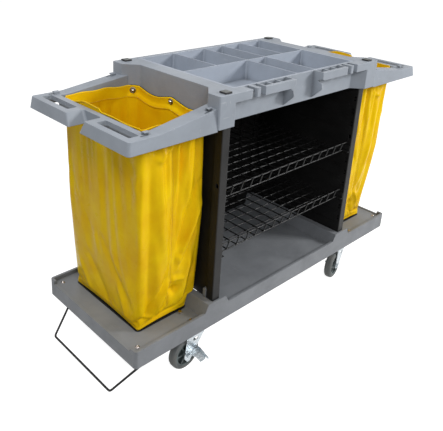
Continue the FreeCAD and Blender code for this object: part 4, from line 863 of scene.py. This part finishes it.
@dataclass
class NylonBag:
    """One hanging nylon bag: cloth, folded hem, foot hem, stitches and a dark tube along the rim,
    painted shade of the gap by the end wall.

    The sizes are the left bag's; the right one is its mirror image with its own folds.
    """

    name: str
    mirrored: bool
    seed: int
    foot_z: float = 0.2204
    rim_z: float = 0.951
    cloth: float = 1.3 * MM
    hem: float = 45 * MM
    columns: dict = field(default_factory=lambda: {
        Side.OUTER: 60, Side.FRONT: 46, Side.FRONT_BEVEL: 6, Side.INNER: 52,
        Side.REAR_BEVEL: 6, Side.REAR: 46})
    rows: int = 118
    stud_y: float = -0.004
    stud_pitch: float = 0.190
    stitch: float = 4.6 * MM
    thread: tuple[float, float] = (0.75 * MM, 0.45 * MM)
    fullness: float = 2.4
    deepest: float = 16 * MM
    calm: dict = field(default_factory=lambda: {Side.OUTER: 0.4})
    foot_rise: dict = field(default_factory=lambda: {
        Side.OUTER: 9 * MM, Side.FRONT: 4 * MM, Side.REAR: 4 * MM})
    board_edge: float = 14 * MM
    floor_rows: int = len(FLOOR_REACHES)
    creases: list[Crease] = field(default_factory=list)
    grid: list[list[Vector]] = field(default_factory=list)

    def levels(self) -> list[Level]:
        """Sections from the foot to the rim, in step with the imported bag."""
        foot = Level(0.220, 0.671, 0.4526, 0.184, 0.187, 0.013, 0.008, 0.010)
        mid = Level(0.5855, 0.689, 0.411, 0.199, 0.205, 0.0, 0.010, 0.010)
        over = foot.between(mid, 0.2645)
        over.in_x = 0.4325
        wall = foot.between(mid, 0.2745)
        wall.in_x = 0.411
        return [foot, over, wall, mid,
                Level(0.914, 0.6945, 0.409, 0.204, 0.209, 0.0, 0.016, 0.029),
                Level(0.9225, 0.6945, 0.402, 0.204, 0.209, 0.0, 0.018, 0.029),
                Level(0.975, 0.6945, 0.402, 0.204, 0.209, 0.0, 0.018, 0.029)]

    def level(self, z: float) -> Level:
        """The section at a height."""
        steps = self.levels()
        for low, high in zip(steps, steps[1:]):
            if z <= high.z:
                return low.between(high, z)
        return steps[-1]

    def shares(self) -> list[tuple[Side, float]]:
        """Side and share of its width for every column."""
        return [(side, k / count) for side, count in self.columns.items()
                for k in range(count)]

    def rim_at(self, side: Side, share: float) -> float:
        """Height of the rim, which sags between the studs and peeps over the end bar."""
        wave = 0.0015 * math.sin(17 * share + self.seed + side.value)
        if side in BEVELS_AND_INNER:
            low, high = WALL_SPAN[side]
            y = low + share * (high - low)
            t = min(1.0, abs(y - self.stud_y) / self.stud_pitch)
            sag = 0.0175 * math.sin(math.pi * t) ** 1.4
            return 0.9515 - sag + (0.0 if side == Side.INNER else wave * 0.3)
        if side == Side.OUTER:
            step = smoothstep(share, 0.50, 0.53)
            peep = 0.014 * smoothstep(share, 0.12, 0.34) * (1 - step) + 0.004 * step
            return 0.9535 + peep + wave
        ends = share if side == Side.FRONT else 1 - share
        return 0.9555 - 0.005 * smoothstep(ends, 0.6, 1.0) + wave

    def lift_at(self, side: Side, share: float, z: float, width: float) -> float:
        """How far folds and sag move the cloth outwards.

        Args:
            side: side of the bag.
            share: share of the side's width.
            z: height.
            width: the side's width there.

        Returns:
            The move in metres, held clear of the frame, the panel and the ridge.
        """
        calm = self.calm.get(side, 1.0)
        lift = self.fullness * sum(c.at(share, z, width) for c in self.creases if c.side == side)
        belly = math.sin(math.pi * min(1.0, max(0.0, (z - 0.23) / 0.66)))
        middle = math.sin(math.pi * share)
        lift += BELLY.get(side, -1.0) * MM * belly * middle
        for wave in WAVES:
            wobble = wave.height * MM * calm * wave.at(share * width, side, z, self.seed)
            lift += wobble * (belly if wave.swells else 1.0)
        # calm in the hem and at the foot
        hem = 1 - smoothstep(z, 0.88, 0.915)
        foot = smoothstep(z, 0.222, 0.262)
        lift *= (0.12 + 0.88 * hem) * (0.10 + 0.90 * foot)
        top = 2.4 * MM if z > 0.90 else self.deepest
        if side in BEVELS_AND_INNER:
            top = 0.3 * MM
            lift -= 2.5 * MM * belly * middle * abs(math.sin(9 * share + self.seed))
        return min(top, max(-self.deepest, lift))

    def lay_out(self) -> list[list[Vector]]:
        """Places of the whole cloth, row by row from the middle of the floor to the rim."""
        marks = self.shares()
        foot = self.level(self.foot_z)
        ring = foot.ring(marks, 0.0)
        middle = sum(ring, Vector()) / len(ring)
        rows = []
        for reach in FLOOR_REACHES:
            floor = [middle.lerp(p, reach) for p in ring]
            rows.append([Vector((p.x, p.y, self.foot_z + 1.4 * MM * (0.5 + noise.noise(p * 17))
                                 * (1 - reach))) for p in floor])
        for k in range(self.rows):
            t = k / (self.rows - 1)
            rows.append(self.wall_row(marks, t))
        return rows

    def wall_row(self, marks: Sequence[tuple[Side, float]], t: float) -> list[Vector]:
        """One row of the wall.

        Args:
            marks: side and share of each column.
            t: 0 at the foot and 1 at the rim.

        Returns:
            The places of the row's vertices.
        """
        plain = self.foot_z + t * (self.rim_z - self.foot_z)
        blend = smoothstep(plain, 0.80, self.rim_z)
        low = 1 - smoothstep(plain, self.foot_z, 0.32)
        heights = [plain + blend * (self.rim_at(side, share) - self.rim_z)
                   + low * self.foot_rise.get(side, 0.0) * math.sin(math.pi * share)
                   for side, share in marks]
        level = self.level(plain)
        ring = level.ring(marks, 0.0)
        corners = [level.ring([(side, 0.0)], 0.0)[0] for side in Side]
        widths = [(corners[(i + 1) % 6] - corners[i]).length for i in range(6)]
        out = []
        for i, (side, share) in enumerate(marks):
            way = ring[(i + 1) % len(ring)] - ring[i - 1]
            normal = Vector((way.y, -way.x, 0)).normalized()
            lift = self.lift_at(side, share, heights[i], widths[side.value])
            point = ring[i] + normal * lift
            out.append(Vector((point.x, point.y, heights[i])))
        return out

    def measure(self, rows: list[list[Vector]]) -> tuple[list[float], list[float]]:
        """Lengths along the cloth for its UV map.

        Args:
            rows: places of the cloth.

        Returns:
            Length round the bag at each column, and up the bag at each row.
        """
        middle = rows[self.floor_rows + self.rows // 2]
        around, total = [0.0], 0.0
        for a, b in zip(middle, middle[1:] + middle[:1]):
            total += (b - a).length
            around.append(total)
        up, total = [0.0], 0.0
        half = self.columns[Side.OUTER] // 2
        for low, high in zip(rows, rows[1:]):
            total += (high[half] - low[half]).length
            up.append(total)
        return around, up

    def sheet(self, rows: list[list[Vector]]) -> Piece:
        """Draw the cloth up from the floor as one skin with a UV map in metres."""
        skin = Skin(rows[0])
        for row in rows[1:]:
            skin.draw(row)
        bmesh.ops.contextual_create(skin.mesh, geom=skin.rows[0])
        around, up = self.measure(rows)
        spot = skin.unwrap(around.__getitem__, up.__getitem__)
        # a face of the outer side's wall shows which way the skin was drawn
        probe = next(f for f in skin.mesh.faces if spot[f.verts[0]][0] > self.floor_rows + 4
                     and spot[f.verts[0]][1] == 20)
        probe.normal_update()
        if probe.normal.x > 0:
            bmesh.ops.reverse_faces(skin.mesh, faces=skin.mesh.faces)
        return to_object(skin.mesh, self.name)

    def settle(self, piece: Piece, hang: Hang = Hang()) -> None:
        """Let the cloth hang for a moment between its hem and its foot, and keep the result.

        Args:
            piece: the cloth.
            hang: length, stiffness and reach of the simulation.
        """
        data = piece.data
        start = [v.co.copy() for v in data.vertices]
        held = piece.vertex_groups.new(name="held")
        for index, co in enumerate(start):
            grip = max(1 - smoothstep(co.z, 0.222, 0.245), smoothstep(co.z, 0.895, 0.915))
            if grip > 0:
                held.add([index], grip, "REPLACE")
        cloth = piece.modifiers.new("hang", "CLOTH")
        s = cloth.settings
        s.quality, s.mass, s.air_damping = hang.quality, hang.mass, hang.air
        s.tension_stiffness = s.compression_stiffness = hang.stiff
        s.shear_stiffness, s.bending_stiffness = hang.shear, hang.bending
        s.tension_damping = s.compression_damping = hang.damping
        s.vertex_group_mass = held.name
        s.shrink_min = hang.shrink
        cloth.collision_settings.use_collision = False
        cloth.point_cache.frame_start, cloth.point_cache.frame_end = 1, hang.frames
        scene = bpy.context.scene
        for step in range(1, hang.frames + 1):
            scene.frame_set(step)
        settled = piece.evaluated_get(bpy.context.evaluated_depsgraph_get()).to_mesh()
        for index, co in enumerate(start):
            move = settled.vertices[index].co - co
            limit = (hang.reach * (1 - smoothstep(co.z, 0.86, 0.90))
                     * smoothstep(co.z, 0.225, 0.26))
            if co.x > hang.panel_x:
                limit *= hang.panel_share
            if move.length > limit:
                move *= limit / max(move.length, 1e-9)
            data.vertices[index].co = co + move
        piece.modifiers.clear()
        piece.vertex_groups.clear()
        scene.frame_set(1)

    def read_back(self, piece: Piece, count: int) -> None:
        """Keep the cloth's places as rows, for the pieces that are sewn to it."""
        places = [v.co.copy() for v in piece.data.vertices]
        self.grid = [places[k:k + count] for k in range(0, len(places), count)]

    def on_cloth(self, row: float, column: float, lift: float = 0.0) -> tuple[Vector, Vector]:
        """A point on the cloth.

        Args:
            row: row number, with a fraction.
            column: column number, with a fraction.
            lift: distance from the cloth's outer face, outwards.

        Returns:
            The point and the outward normal.
        """
        count = len(self.grid[0])
        k, i = min(int(row), len(self.grid) - 2), int(column) % count
        a, b = row - k, column - int(column)
        j = (i + 1) % count
        low = self.grid[k][i].lerp(self.grid[k][j], b)
        high = self.grid[k + 1][i].lerp(self.grid[k + 1][j], b)
        before, after = self.grid[k][i - 2], self.grid[k][(i + 3) % count]
        under = self.grid[max(0, k - 1)][i]
        above = self.grid[min(len(self.grid) - 1, k + 2)][i]
        normal = (after - before).cross(above - under).normalized()
        return low.lerp(high, a) + normal * lift, normal

    def strip(self, stations: Sequence[tuple[float, float]], name: str) -> Piece:
        """A band of tape that follows the cloth round the bag.

        Args:
            stations: row of the cloth and lift for each edge line of the band.
            name: name of the piece.

        Returns:
            The band, which still needs its thickness.
        """
        count = len(self.grid[0])
        lines = [[self.on_cloth(row, i, lift)[0] for i in range(count)]
                 for row, lift in stations]
        skin = Skin(lines[0])
        for line in lines[1:]:
            skin.draw(line)
        skin.unwrap(lambda i: i * 6 * MM, lambda k: k * 8 * MM)
        bmesh.ops.reverse_faces(skin.mesh, faces=skin.mesh.faces)
        return to_object(skin.mesh, name)

    def thicken(self, piece: Piece, thickness: float, offset: float) -> Piece:
        """Give a sheet its thickness."""
        shell = piece.modifiers.new("thickness", "SOLIDIFY")
        shell.thickness, shell.offset, shell.use_even_offset = thickness, offset, False
        return bake(piece)

    def stiffener(self) -> Piece:
        """The turned-up black edge of the base board, which shows where the cloth rides up."""
        foot = self.level(self.foot_z)
        ring = foot.ring(self.shares(), 4 * MM)
        skin = Skin([Vector((p.x, p.y, self.foot_z)) for p in ring])
        for rise in (0.5, 1.0):
            skin.draw([Vector((p.x, p.y, self.foot_z + rise * self.board_edge)) for p in ring])
        return self.thicken(to_object(skin.mesh, self.name + "_board_edge"), 1.2 * MM, 0.0)

    def row_pitch(self) -> float:
        """Height from one row of the wall to the next."""
        return (self.rim_z - self.foot_z) / (self.rows - 1)

    def column_of(self, side: Side, share: float) -> float:
        """Column at a share of a side's width."""
        before = sum(n for other, n in self.columns.items() if other.value < side.value)
        return before + share * self.columns[side]

    def sew(self, path: Callable[[float], tuple[float, float]], length: float, lift: float,
            batch: Mesh) -> None:
        """Sew one row of stitches.

        Args:
            path: row and column of the cloth at a share of the path.
            length: length of the path.
            lift: distance of the thread from the cloth's outer face.
            batch: mesh that takes the stitches.
        """
        number = int(length / self.stitch)
        for k in range(number):
            a, normal = self.on_cloth(*path((k + 0.16) / number), lift)
            b, _ = self.on_cloth(*path((k + 0.84) / number), lift)
            along = b - a
            if along.length < 1e-5:
                continue
            x = along.normalized()
            z = (normal - x * normal.dot(x)).normalized()
            middle = (a + b) / 2
            turn = Matrix((x, z.cross(x), z)).transposed().to_4x4()
            size = Matrix.Diagonal((along.length, *self.thread, 1.0))
            made = bmesh.ops.create_cube(batch, size=1.0,
                                         matrix=Matrix.Translation(middle) @ turn @ size)
            bmesh.ops.scale(batch, verts=[v for v in made["verts"] if (v.co - middle).dot(z) > 0],
                            vec=(0.8, 0.8, 0.8), space=Matrix.Translation(-middle))

    def stitches(self) -> Piece:
        """All rows of stitches as one piece."""
        batch = bmesh.new()
        count = len(self.grid[0])
        top = len(self.grid) - 1
        pitch = self.row_pitch()
        line = self.grid[top - 8]
        girth = sum((b - a).length for a, b in zip(line, line[1:]))
        hem_row = top - (self.hem - 4 * MM) / pitch
        inside = -self.cloth - 1.3 * MM
        rim_row = top - 4 * MM / pitch
        for row, lift in ((hem_row, inside), (hem_row, 0.1 * MM), (rim_row, inside)):
            self.sew(lambda t, row=row: (row, t * (count - 1)), girth, lift, batch)
        foot_row = self.floor_rows + 5.5 * MM / pitch
        self.sew(lambda t: (foot_row, t * (count - 1)), girth * 0.92, 0.75 * MM, batch)
        tall = self.rim_z - self.foot_z - 0.012
        first = self.floor_rows + 2
        for side, share in ((Side.FRONT, 0.485), (Side.REAR, 0.515)):
            middle = self.column_of(side, share)
            for shift in (-0.55, 0.55):
                self.sew(lambda t, c=middle + shift: (first + t * (self.rows - 4), c), tall,
                         0.35 * MM, batch)
        return to_object(batch, self.name + "_stitches")

    def folded(self) -> list[Crease]:
        """Creases of this bag; the mirrored one gets its own variation of them."""
        plain = all_creases()
        if not self.mirrored:
            return plain
        draw = random.Random(self.seed).uniform
        return [Crease(c.side, (c.start[0] + draw(-0.05, 0.05), c.start[1]),
                       (c.end[0] + draw(-0.06, 0.06), c.end[1] + draw(-0.04, 0.04)),
                       c.width, c.lift * draw(0.6, 1.1), c.crisp) for c in plain]

    def tapes(self) -> list[Piece]:
        """The folded hem at the rim and the hem at the foot."""
        top, pitch, back = len(self.grid) - 1, self.row_pitch(), -self.cloth
        fold = [(top - 5 * MM / pitch, 0.35 * MM), (top - 0.3, 0.5 * MM), (top, 0.2 * MM),
                (top, back - 0.5 * MM), (top - 0.6, back - 0.7 * MM)]
        fold += [(top - d * MM / pitch, back - (0.45 if d < 44 else 0.2) * MM)
                 for d in (6, 14, 22, 30, 38, 43, 45)]
        low = self.floor_rows
        foot = [(low + 0.1, 0.25 * MM), (low + 0.6, 0.65 * MM),
                (low + 7.5 * MM / pitch, 0.55 * MM), (low + 8.5 * MM / pitch, 0.1 * MM)]
        return [self.thicken(self.strip(fold, self.name + "_hem"), 0.55 * MM, 0.0),
                self.thicken(self.strip(foot, self.name + "_foot_hem"), 0.5 * MM, 0.0)]

    def gap_shade_tube(self, steps: int = 60) -> Piece:
        """A dark tube along the rim by the end wall: painted shade of the gap between the rim and
        the wall.
        """
        top = len(self.grid) - 1
        start = self.column_of(Side.FRONT_BEVEL, 0.2)
        end = self.column_of(Side.REAR_BEVEL, 0.8)
        line = [self.on_cloth(top - 0.01, start + t * (end - start) / steps, 0.9 * MM)[0]
                + Vector((0, 0, 0.6 * MM)) for t in range(steps + 1)]
        return tube(line, 1.25 * MM, self.name + "_binding", 8)

    def build(self) -> list[Piece]:
        """Make the bag and everything sewn to it.

        Returns:
            The pieces: cloth, hem, foot hem, dark tube of painted gap shade, stitches and board
                edge.
        """
        self.creases = self.folded()
        rows = self.lay_out()
        cloth = self.sheet(rows)
        self.settle(cloth)
        self.read_back(cloth, len(rows[0]))
        hem, foot = self.tapes()
        stitches = self.stitches()
        # dark tube along the rim: painted shade of the gap between the rim and the end wall
        gap_shade = self.gap_shade_tube()
        cloth = self.thicken(cloth, self.cloth, -1.0)
        pieces = {cloth: Finish.NYLON, hem: Finish.HEM, foot: Finish.HEM,
                  gap_shade: Finish.BINDING, stitches: Finish.THREAD,
                  self.stiffener(): Finish.BOARD}
        for piece, finish in pieces.items():
            if self.mirrored:
                mirror(piece)
            piece.data.materials.clear()
            dress(piece, finish)
            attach(piece, "cart")
        return list(pieces)


# ------------------------------------------------------------------ hardware
@dataclass
class CrossScrew:
    """A domed screw with a washer and a cross recess, standing up from a flat seat."""

    name: str
    place: Vector
    washer_r: float = 8.0 * MM
    washer_h: float = 1.2 * MM
    head_r: float = 6.0 * MM
    head_h: float = 3.8 * MM
    recess: float = 2.1 * MM
    recess_depth: float = 3.2 * MM

    def build(self) -> Piece:
        """Spin the head and cut its recess.

        Returns:
            The screw's object.
        """
        mesh = bmesh.new()
        outline = [(0.0, 0.0), (self.washer_r * 0.96, 0.0), (self.washer_r, 0.3 * MM),
                   (self.washer_r * 0.97, self.washer_h), (self.head_r, self.washer_h + 0.1 * MM)]
        for k in range(1, 7):
            turn = math.pi / 2 * k / 6
            outline.append((self.head_r * math.cos(turn),
                            self.washer_h + self.head_h * math.sin(turn)))
        verts = [mesh.verts.new((r, 0, z)) for r, z in outline]
        edges = [mesh.edges.new(pair) for pair in zip(verts, verts[1:])]
        bmesh.ops.spin(mesh, geom=verts + edges, cent=(0, 0, 0), axis=(0, 0, 1),
                       angle=2 * math.pi, steps=28, use_merge=True)
        outward(mesh)
        body = to_object(mesh, self.name)
        top = self.washer_h + self.head_h
        tool = bmesh.new()
        for turn in (0.0, math.pi / 2):
            size = Matrix.Diagonal((self.recess * 2.6, self.recess * 0.55, self.recess_depth, 1))
            spot = Matrix.Translation((0, 0, top)) @ Matrix.Rotation(turn + 0.5, 4, "Z")
            bmesh.ops.create_cube(tool, size=1.0, matrix=spot @ size)
        cutter = to_object(tool, self.name + "_tool")
        cut = body.modifiers.new("recess", "BOOLEAN")
        cut.operation, cut.object, cut.solver = "DIFFERENCE", cutter, "EXACT"
        cut.use_self = True
        bake(body)
        bpy.data.objects.remove(cutter)
        body.data.transform(Matrix.Translation(self.place))
        return body


def base_screws() -> Piece:
    """The four screws in the corners of the base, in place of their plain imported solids."""
    low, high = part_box("deck_screws")
    inset = 8.0 * MM
    places = [(x, y) for x in (low.x + inset, high.x - inset)
              for y in (low.y + inset, high.y - inset)]
    screws = [CrossScrew(f"base_screw_{k}", Vector((*place, low.z))).build()
              for k, place in enumerate(places)]
    whole = join(screws, "base_corner_screws")
    dress(whole, Finish.SCREW)
    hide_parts("deck_screws")
    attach(whole, "cart")
    return whole


WHEEL_TURN = {"front_left": 0.0, "front_right": math.radians(13),
              "rear_left": math.radians(-6), "rear_right": math.radians(8)}


@dataclass
class TyreLines:
    """Moulded rings on the side walls of a tyre, round the wheel's own axle."""

    wheel: str
    rings: tuple[float, ...] = (49.5, 54.0)
    wire: float = 0.55 * MM
    half_width: float = 16.0 * MM
    steps: int = 48

    def build(self) -> Piece:
        """Make the rings of both side walls.

        Returns:
            The joined rings.
        """
        low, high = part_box("wheel_tyre_" + self.wheel)
        centre = (low + high) / 2
        angle = WHEEL_TURN[self.wheel]
        along = Vector((-math.sin(angle), math.cos(angle), 0))
        flat = Vector((math.cos(angle), math.sin(angle), 0))
        up = Vector((0, 0, 1))
        turns = [2 * math.pi * n / self.steps for n in range(self.steps)]
        pieces = []
        for side in (-1, 1):
            for k, radius in enumerate(self.rings):
                points = [centre + along * side * self.half_width
                          + (flat * math.cos(t) + up * math.sin(t)) * radius * MM for t in turns]
                pieces.append(tube(points, self.wire, f"ring_{side}_{k}", 6, closed=True))
        whole = join(pieces, "tyre_rings_" + self.wheel)
        dress(whole, Finish.TYRE)
        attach(whole, "wheel_" + self.wheel)
        return whole


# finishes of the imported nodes, by the start of their names
DRESSING = (
    ("base_platform", Finish.BASE), ("side_panel", Finish.PANEL), ("rear_panel", Finish.PANEL),
    ("top_frame", Finish.TOP), ("drop_frame", Finish.TOP), ("tray_insert", Finish.TRAY),
    ("post_cap_pads", Finish.PAD), ("post_caps", Finish.CAP), ("bag_board", Finish.BOARD),
    ("bag_eyelets", Finish.EYELET), ("bag_studs", Finish.STUD), ("wire_shelf", Finish.WIRE),
    ("wire_stirrup", Finish.WIRE), ("shelf_clips", Finish.CLIP), ("stirrup_clips", Finish.CLIP),
    ("caster_plates", Finish.ZINC), ("caster_bolts", Finish.STEEL), ("caster_fork", Finish.ZINC),
    ("caster_axle", Finish.ZINC), ("brake_lever", Finish.ZINC), ("wheel_hub", Finish.HUB),
    ("wheel_tyre", Finish.TYRE), ("deck_screws", Finish.SCREW), ("bag_left", Finish.NYLON),
    ("bag_right", Finish.NYLON))


def dress_frame() -> None:
    """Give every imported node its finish."""
    for name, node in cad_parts.items():
        finish = next(f for start, f in DRESSING if name.startswith(start))
        dress(node, finish)
        LOG.info("dressed %s in %s", name, finish.value.name)


# ------------------------------------------------------------------ studio
# name, place, aim, side in metres and power in watts
LAMPS = (
    ("key", (2.8, -2.8, 2.5), (0.0, 0.0, 0.55), 0.9, 122.0),
    ("fill", (-1.7, -2.5, 2.7), (-0.3, 0.0, 0.7), 1.2, 42.0),
    ("top", (-1.6, 0.3, 3.2), (-0.2, 0.0, 0.8), 1.6, 34.0),
)
WHITE = (1, 1, 1, 1)
SKY = (0.93, 0.96, 1.0, 1)
PAPER = ((0.50, 0.50, 0.50), (0.54, 0.54, 0.54))


@dataclass
class Studio:
    """Camera, soft lamps and a white floor."""

    lens: float = 46.7243
    place: tuple[float, float, float] = (-1.640391, -1.424923, 1.520105)
    yaw: float = 0.760169
    pitch: float = 0.366391
    roll: float = 0.044042
    shift: tuple[float, float] = (0.063205, -0.169300)
    sensor: float = 36.0
    clip: tuple[float, float] = (0.05, 60.0)
    sky_light: float = 0.22
    floor_glow: float = 0.95
    floor_half: float = 14.0

    def camera(self) -> None:
        """Set up the camera."""
        data = bpy.data.cameras.new("camera")
        data.sensor_width, data.lens = self.sensor, self.lens
        data.shift_x, data.shift_y = self.shift
        data.clip_start, data.clip_end = self.clip
        ahead = Vector((math.sin(self.yaw) * math.cos(self.pitch),
                        math.cos(self.yaw) * math.cos(self.pitch), -math.sin(self.pitch)))
        level = Vector((math.cos(self.yaw), -math.sin(self.yaw), 0))
        over = level.cross(ahead)
        right = level * math.cos(self.roll) + over * math.sin(self.roll)
        up = over * math.cos(self.roll) - level * math.sin(self.roll)
        made = bpy.data.objects.new("camera", data)
        turn = Matrix((right, up, -ahead)).transposed().to_4x4()
        made.matrix_world = Matrix.Translation(self.place) @ turn
        bpy.context.scene.collection.objects.link(made)
        bpy.context.scene.camera = made

    def lamp(self, name: str, place: Numbers, aim: Numbers, size: float,
             power: float) -> None:
        """Add one square soft lamp.

        Args:
            name: name of the lamp.
            place: where it hangs.
            aim: the point that it faces.
            size: side of the square.
            power: power in watts.
        """
        data = bpy.data.lights.new(name, "AREA")
        data.shape, data.size, data.energy = "SQUARE", size, power
        made = bpy.data.objects.new(name, data)
        made.location = place
        made.visible_camera = False
        made.rotation_euler = (Vector(aim) - Vector(place)).to_track_quat("-Z", "Y").to_euler()
        bpy.context.scene.collection.objects.link(made)

    def seen(self, g: Graph) -> Socket:
        """1 for rays from the camera and for reflected or transmitted ones."""
        path = g.node("LightPath")
        first = g.maths("MAXIMUM", path.outputs["Is Camera Ray"], path.outputs["Is Glossy Ray"])
        return g.maths("MAXIMUM", first, path.outputs["Is Transmission Ray"])

    def world(self) -> None:
        """A white surround that lights the cart gently."""
        world = bpy.data.worlds.new("surround")
        g = Graph("surround", owner=world)
        light = g.node("Background", {"Color": SKY, "Strength": self.sky_light})
        white = g.node("Background", {"Color": WHITE, "Strength": 1.0})
        inputs = {0: self.seen(g), 1: light.outputs[0], 2: white.outputs[0]}
        g.finish(g.node("MixShader", inputs), "OutputWorld")
        bpy.context.scene.world = world

    def floor(self) -> None:
        """A wide white floor that keeps the cart's soft shadow."""
        mesh = bmesh.new()
        bmesh.ops.create_grid(mesh, x_segments=2, y_segments=2, size=self.floor_half)
        made = to_object(mesh, "floor", smooth=False)
        g = Graph("floor_paper")
        fibre = g.noise(g.place(), 60.0, 4.0)
        paper = g.node("BsdfDiffuse", {"Color": g.blend(g.span(fibre, 0.3, 0.7), *PAPER)})
        glow = g.node("Emission", {"Color": WHITE, "Strength": self.floor_glow})
        both = g.node("AddShader", {0: paper.outputs[0], 1: glow.outputs[0]})
        mix = g.node("MixShader", {0: self.seen(g), 1: paper.outputs[0], 2: both.outputs[0]})
        made.data.materials.append(g.finish(mix))

    def build(self) -> None:
        """Set up the whole studio."""
        bpy.context.scene.view_settings.view_transform = "Standard"
        self.camera()
        self.world()
        self.floor()
        for lamp in LAMPS:
            self.lamp(*lamp)


def main() -> None:
    """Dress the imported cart, add the cloth and the hardware, and set the studio."""
    logging.basicConfig(level=logging.INFO, format="%(name)s: %(message)s")
    Studio().build()
    dress_frame()
    for bag in (NylonBag("bag_cloth_left", False, 3), NylonBag("bag_cloth_right", True, 8)):
        pieces = bag.build()
        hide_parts("bag_right" if bag.mirrored else "bag_left")
        LOG.info("hung %s with %d pieces sewn to it", bag.name, len(pieces) - 1)
    LOG.info("set %s", base_screws().name)
    for wheel in WHEEL_TURN:
        LOG.info("set %s", TyreLines(wheel).build().name)


if __name__ == "__main__":
    main()
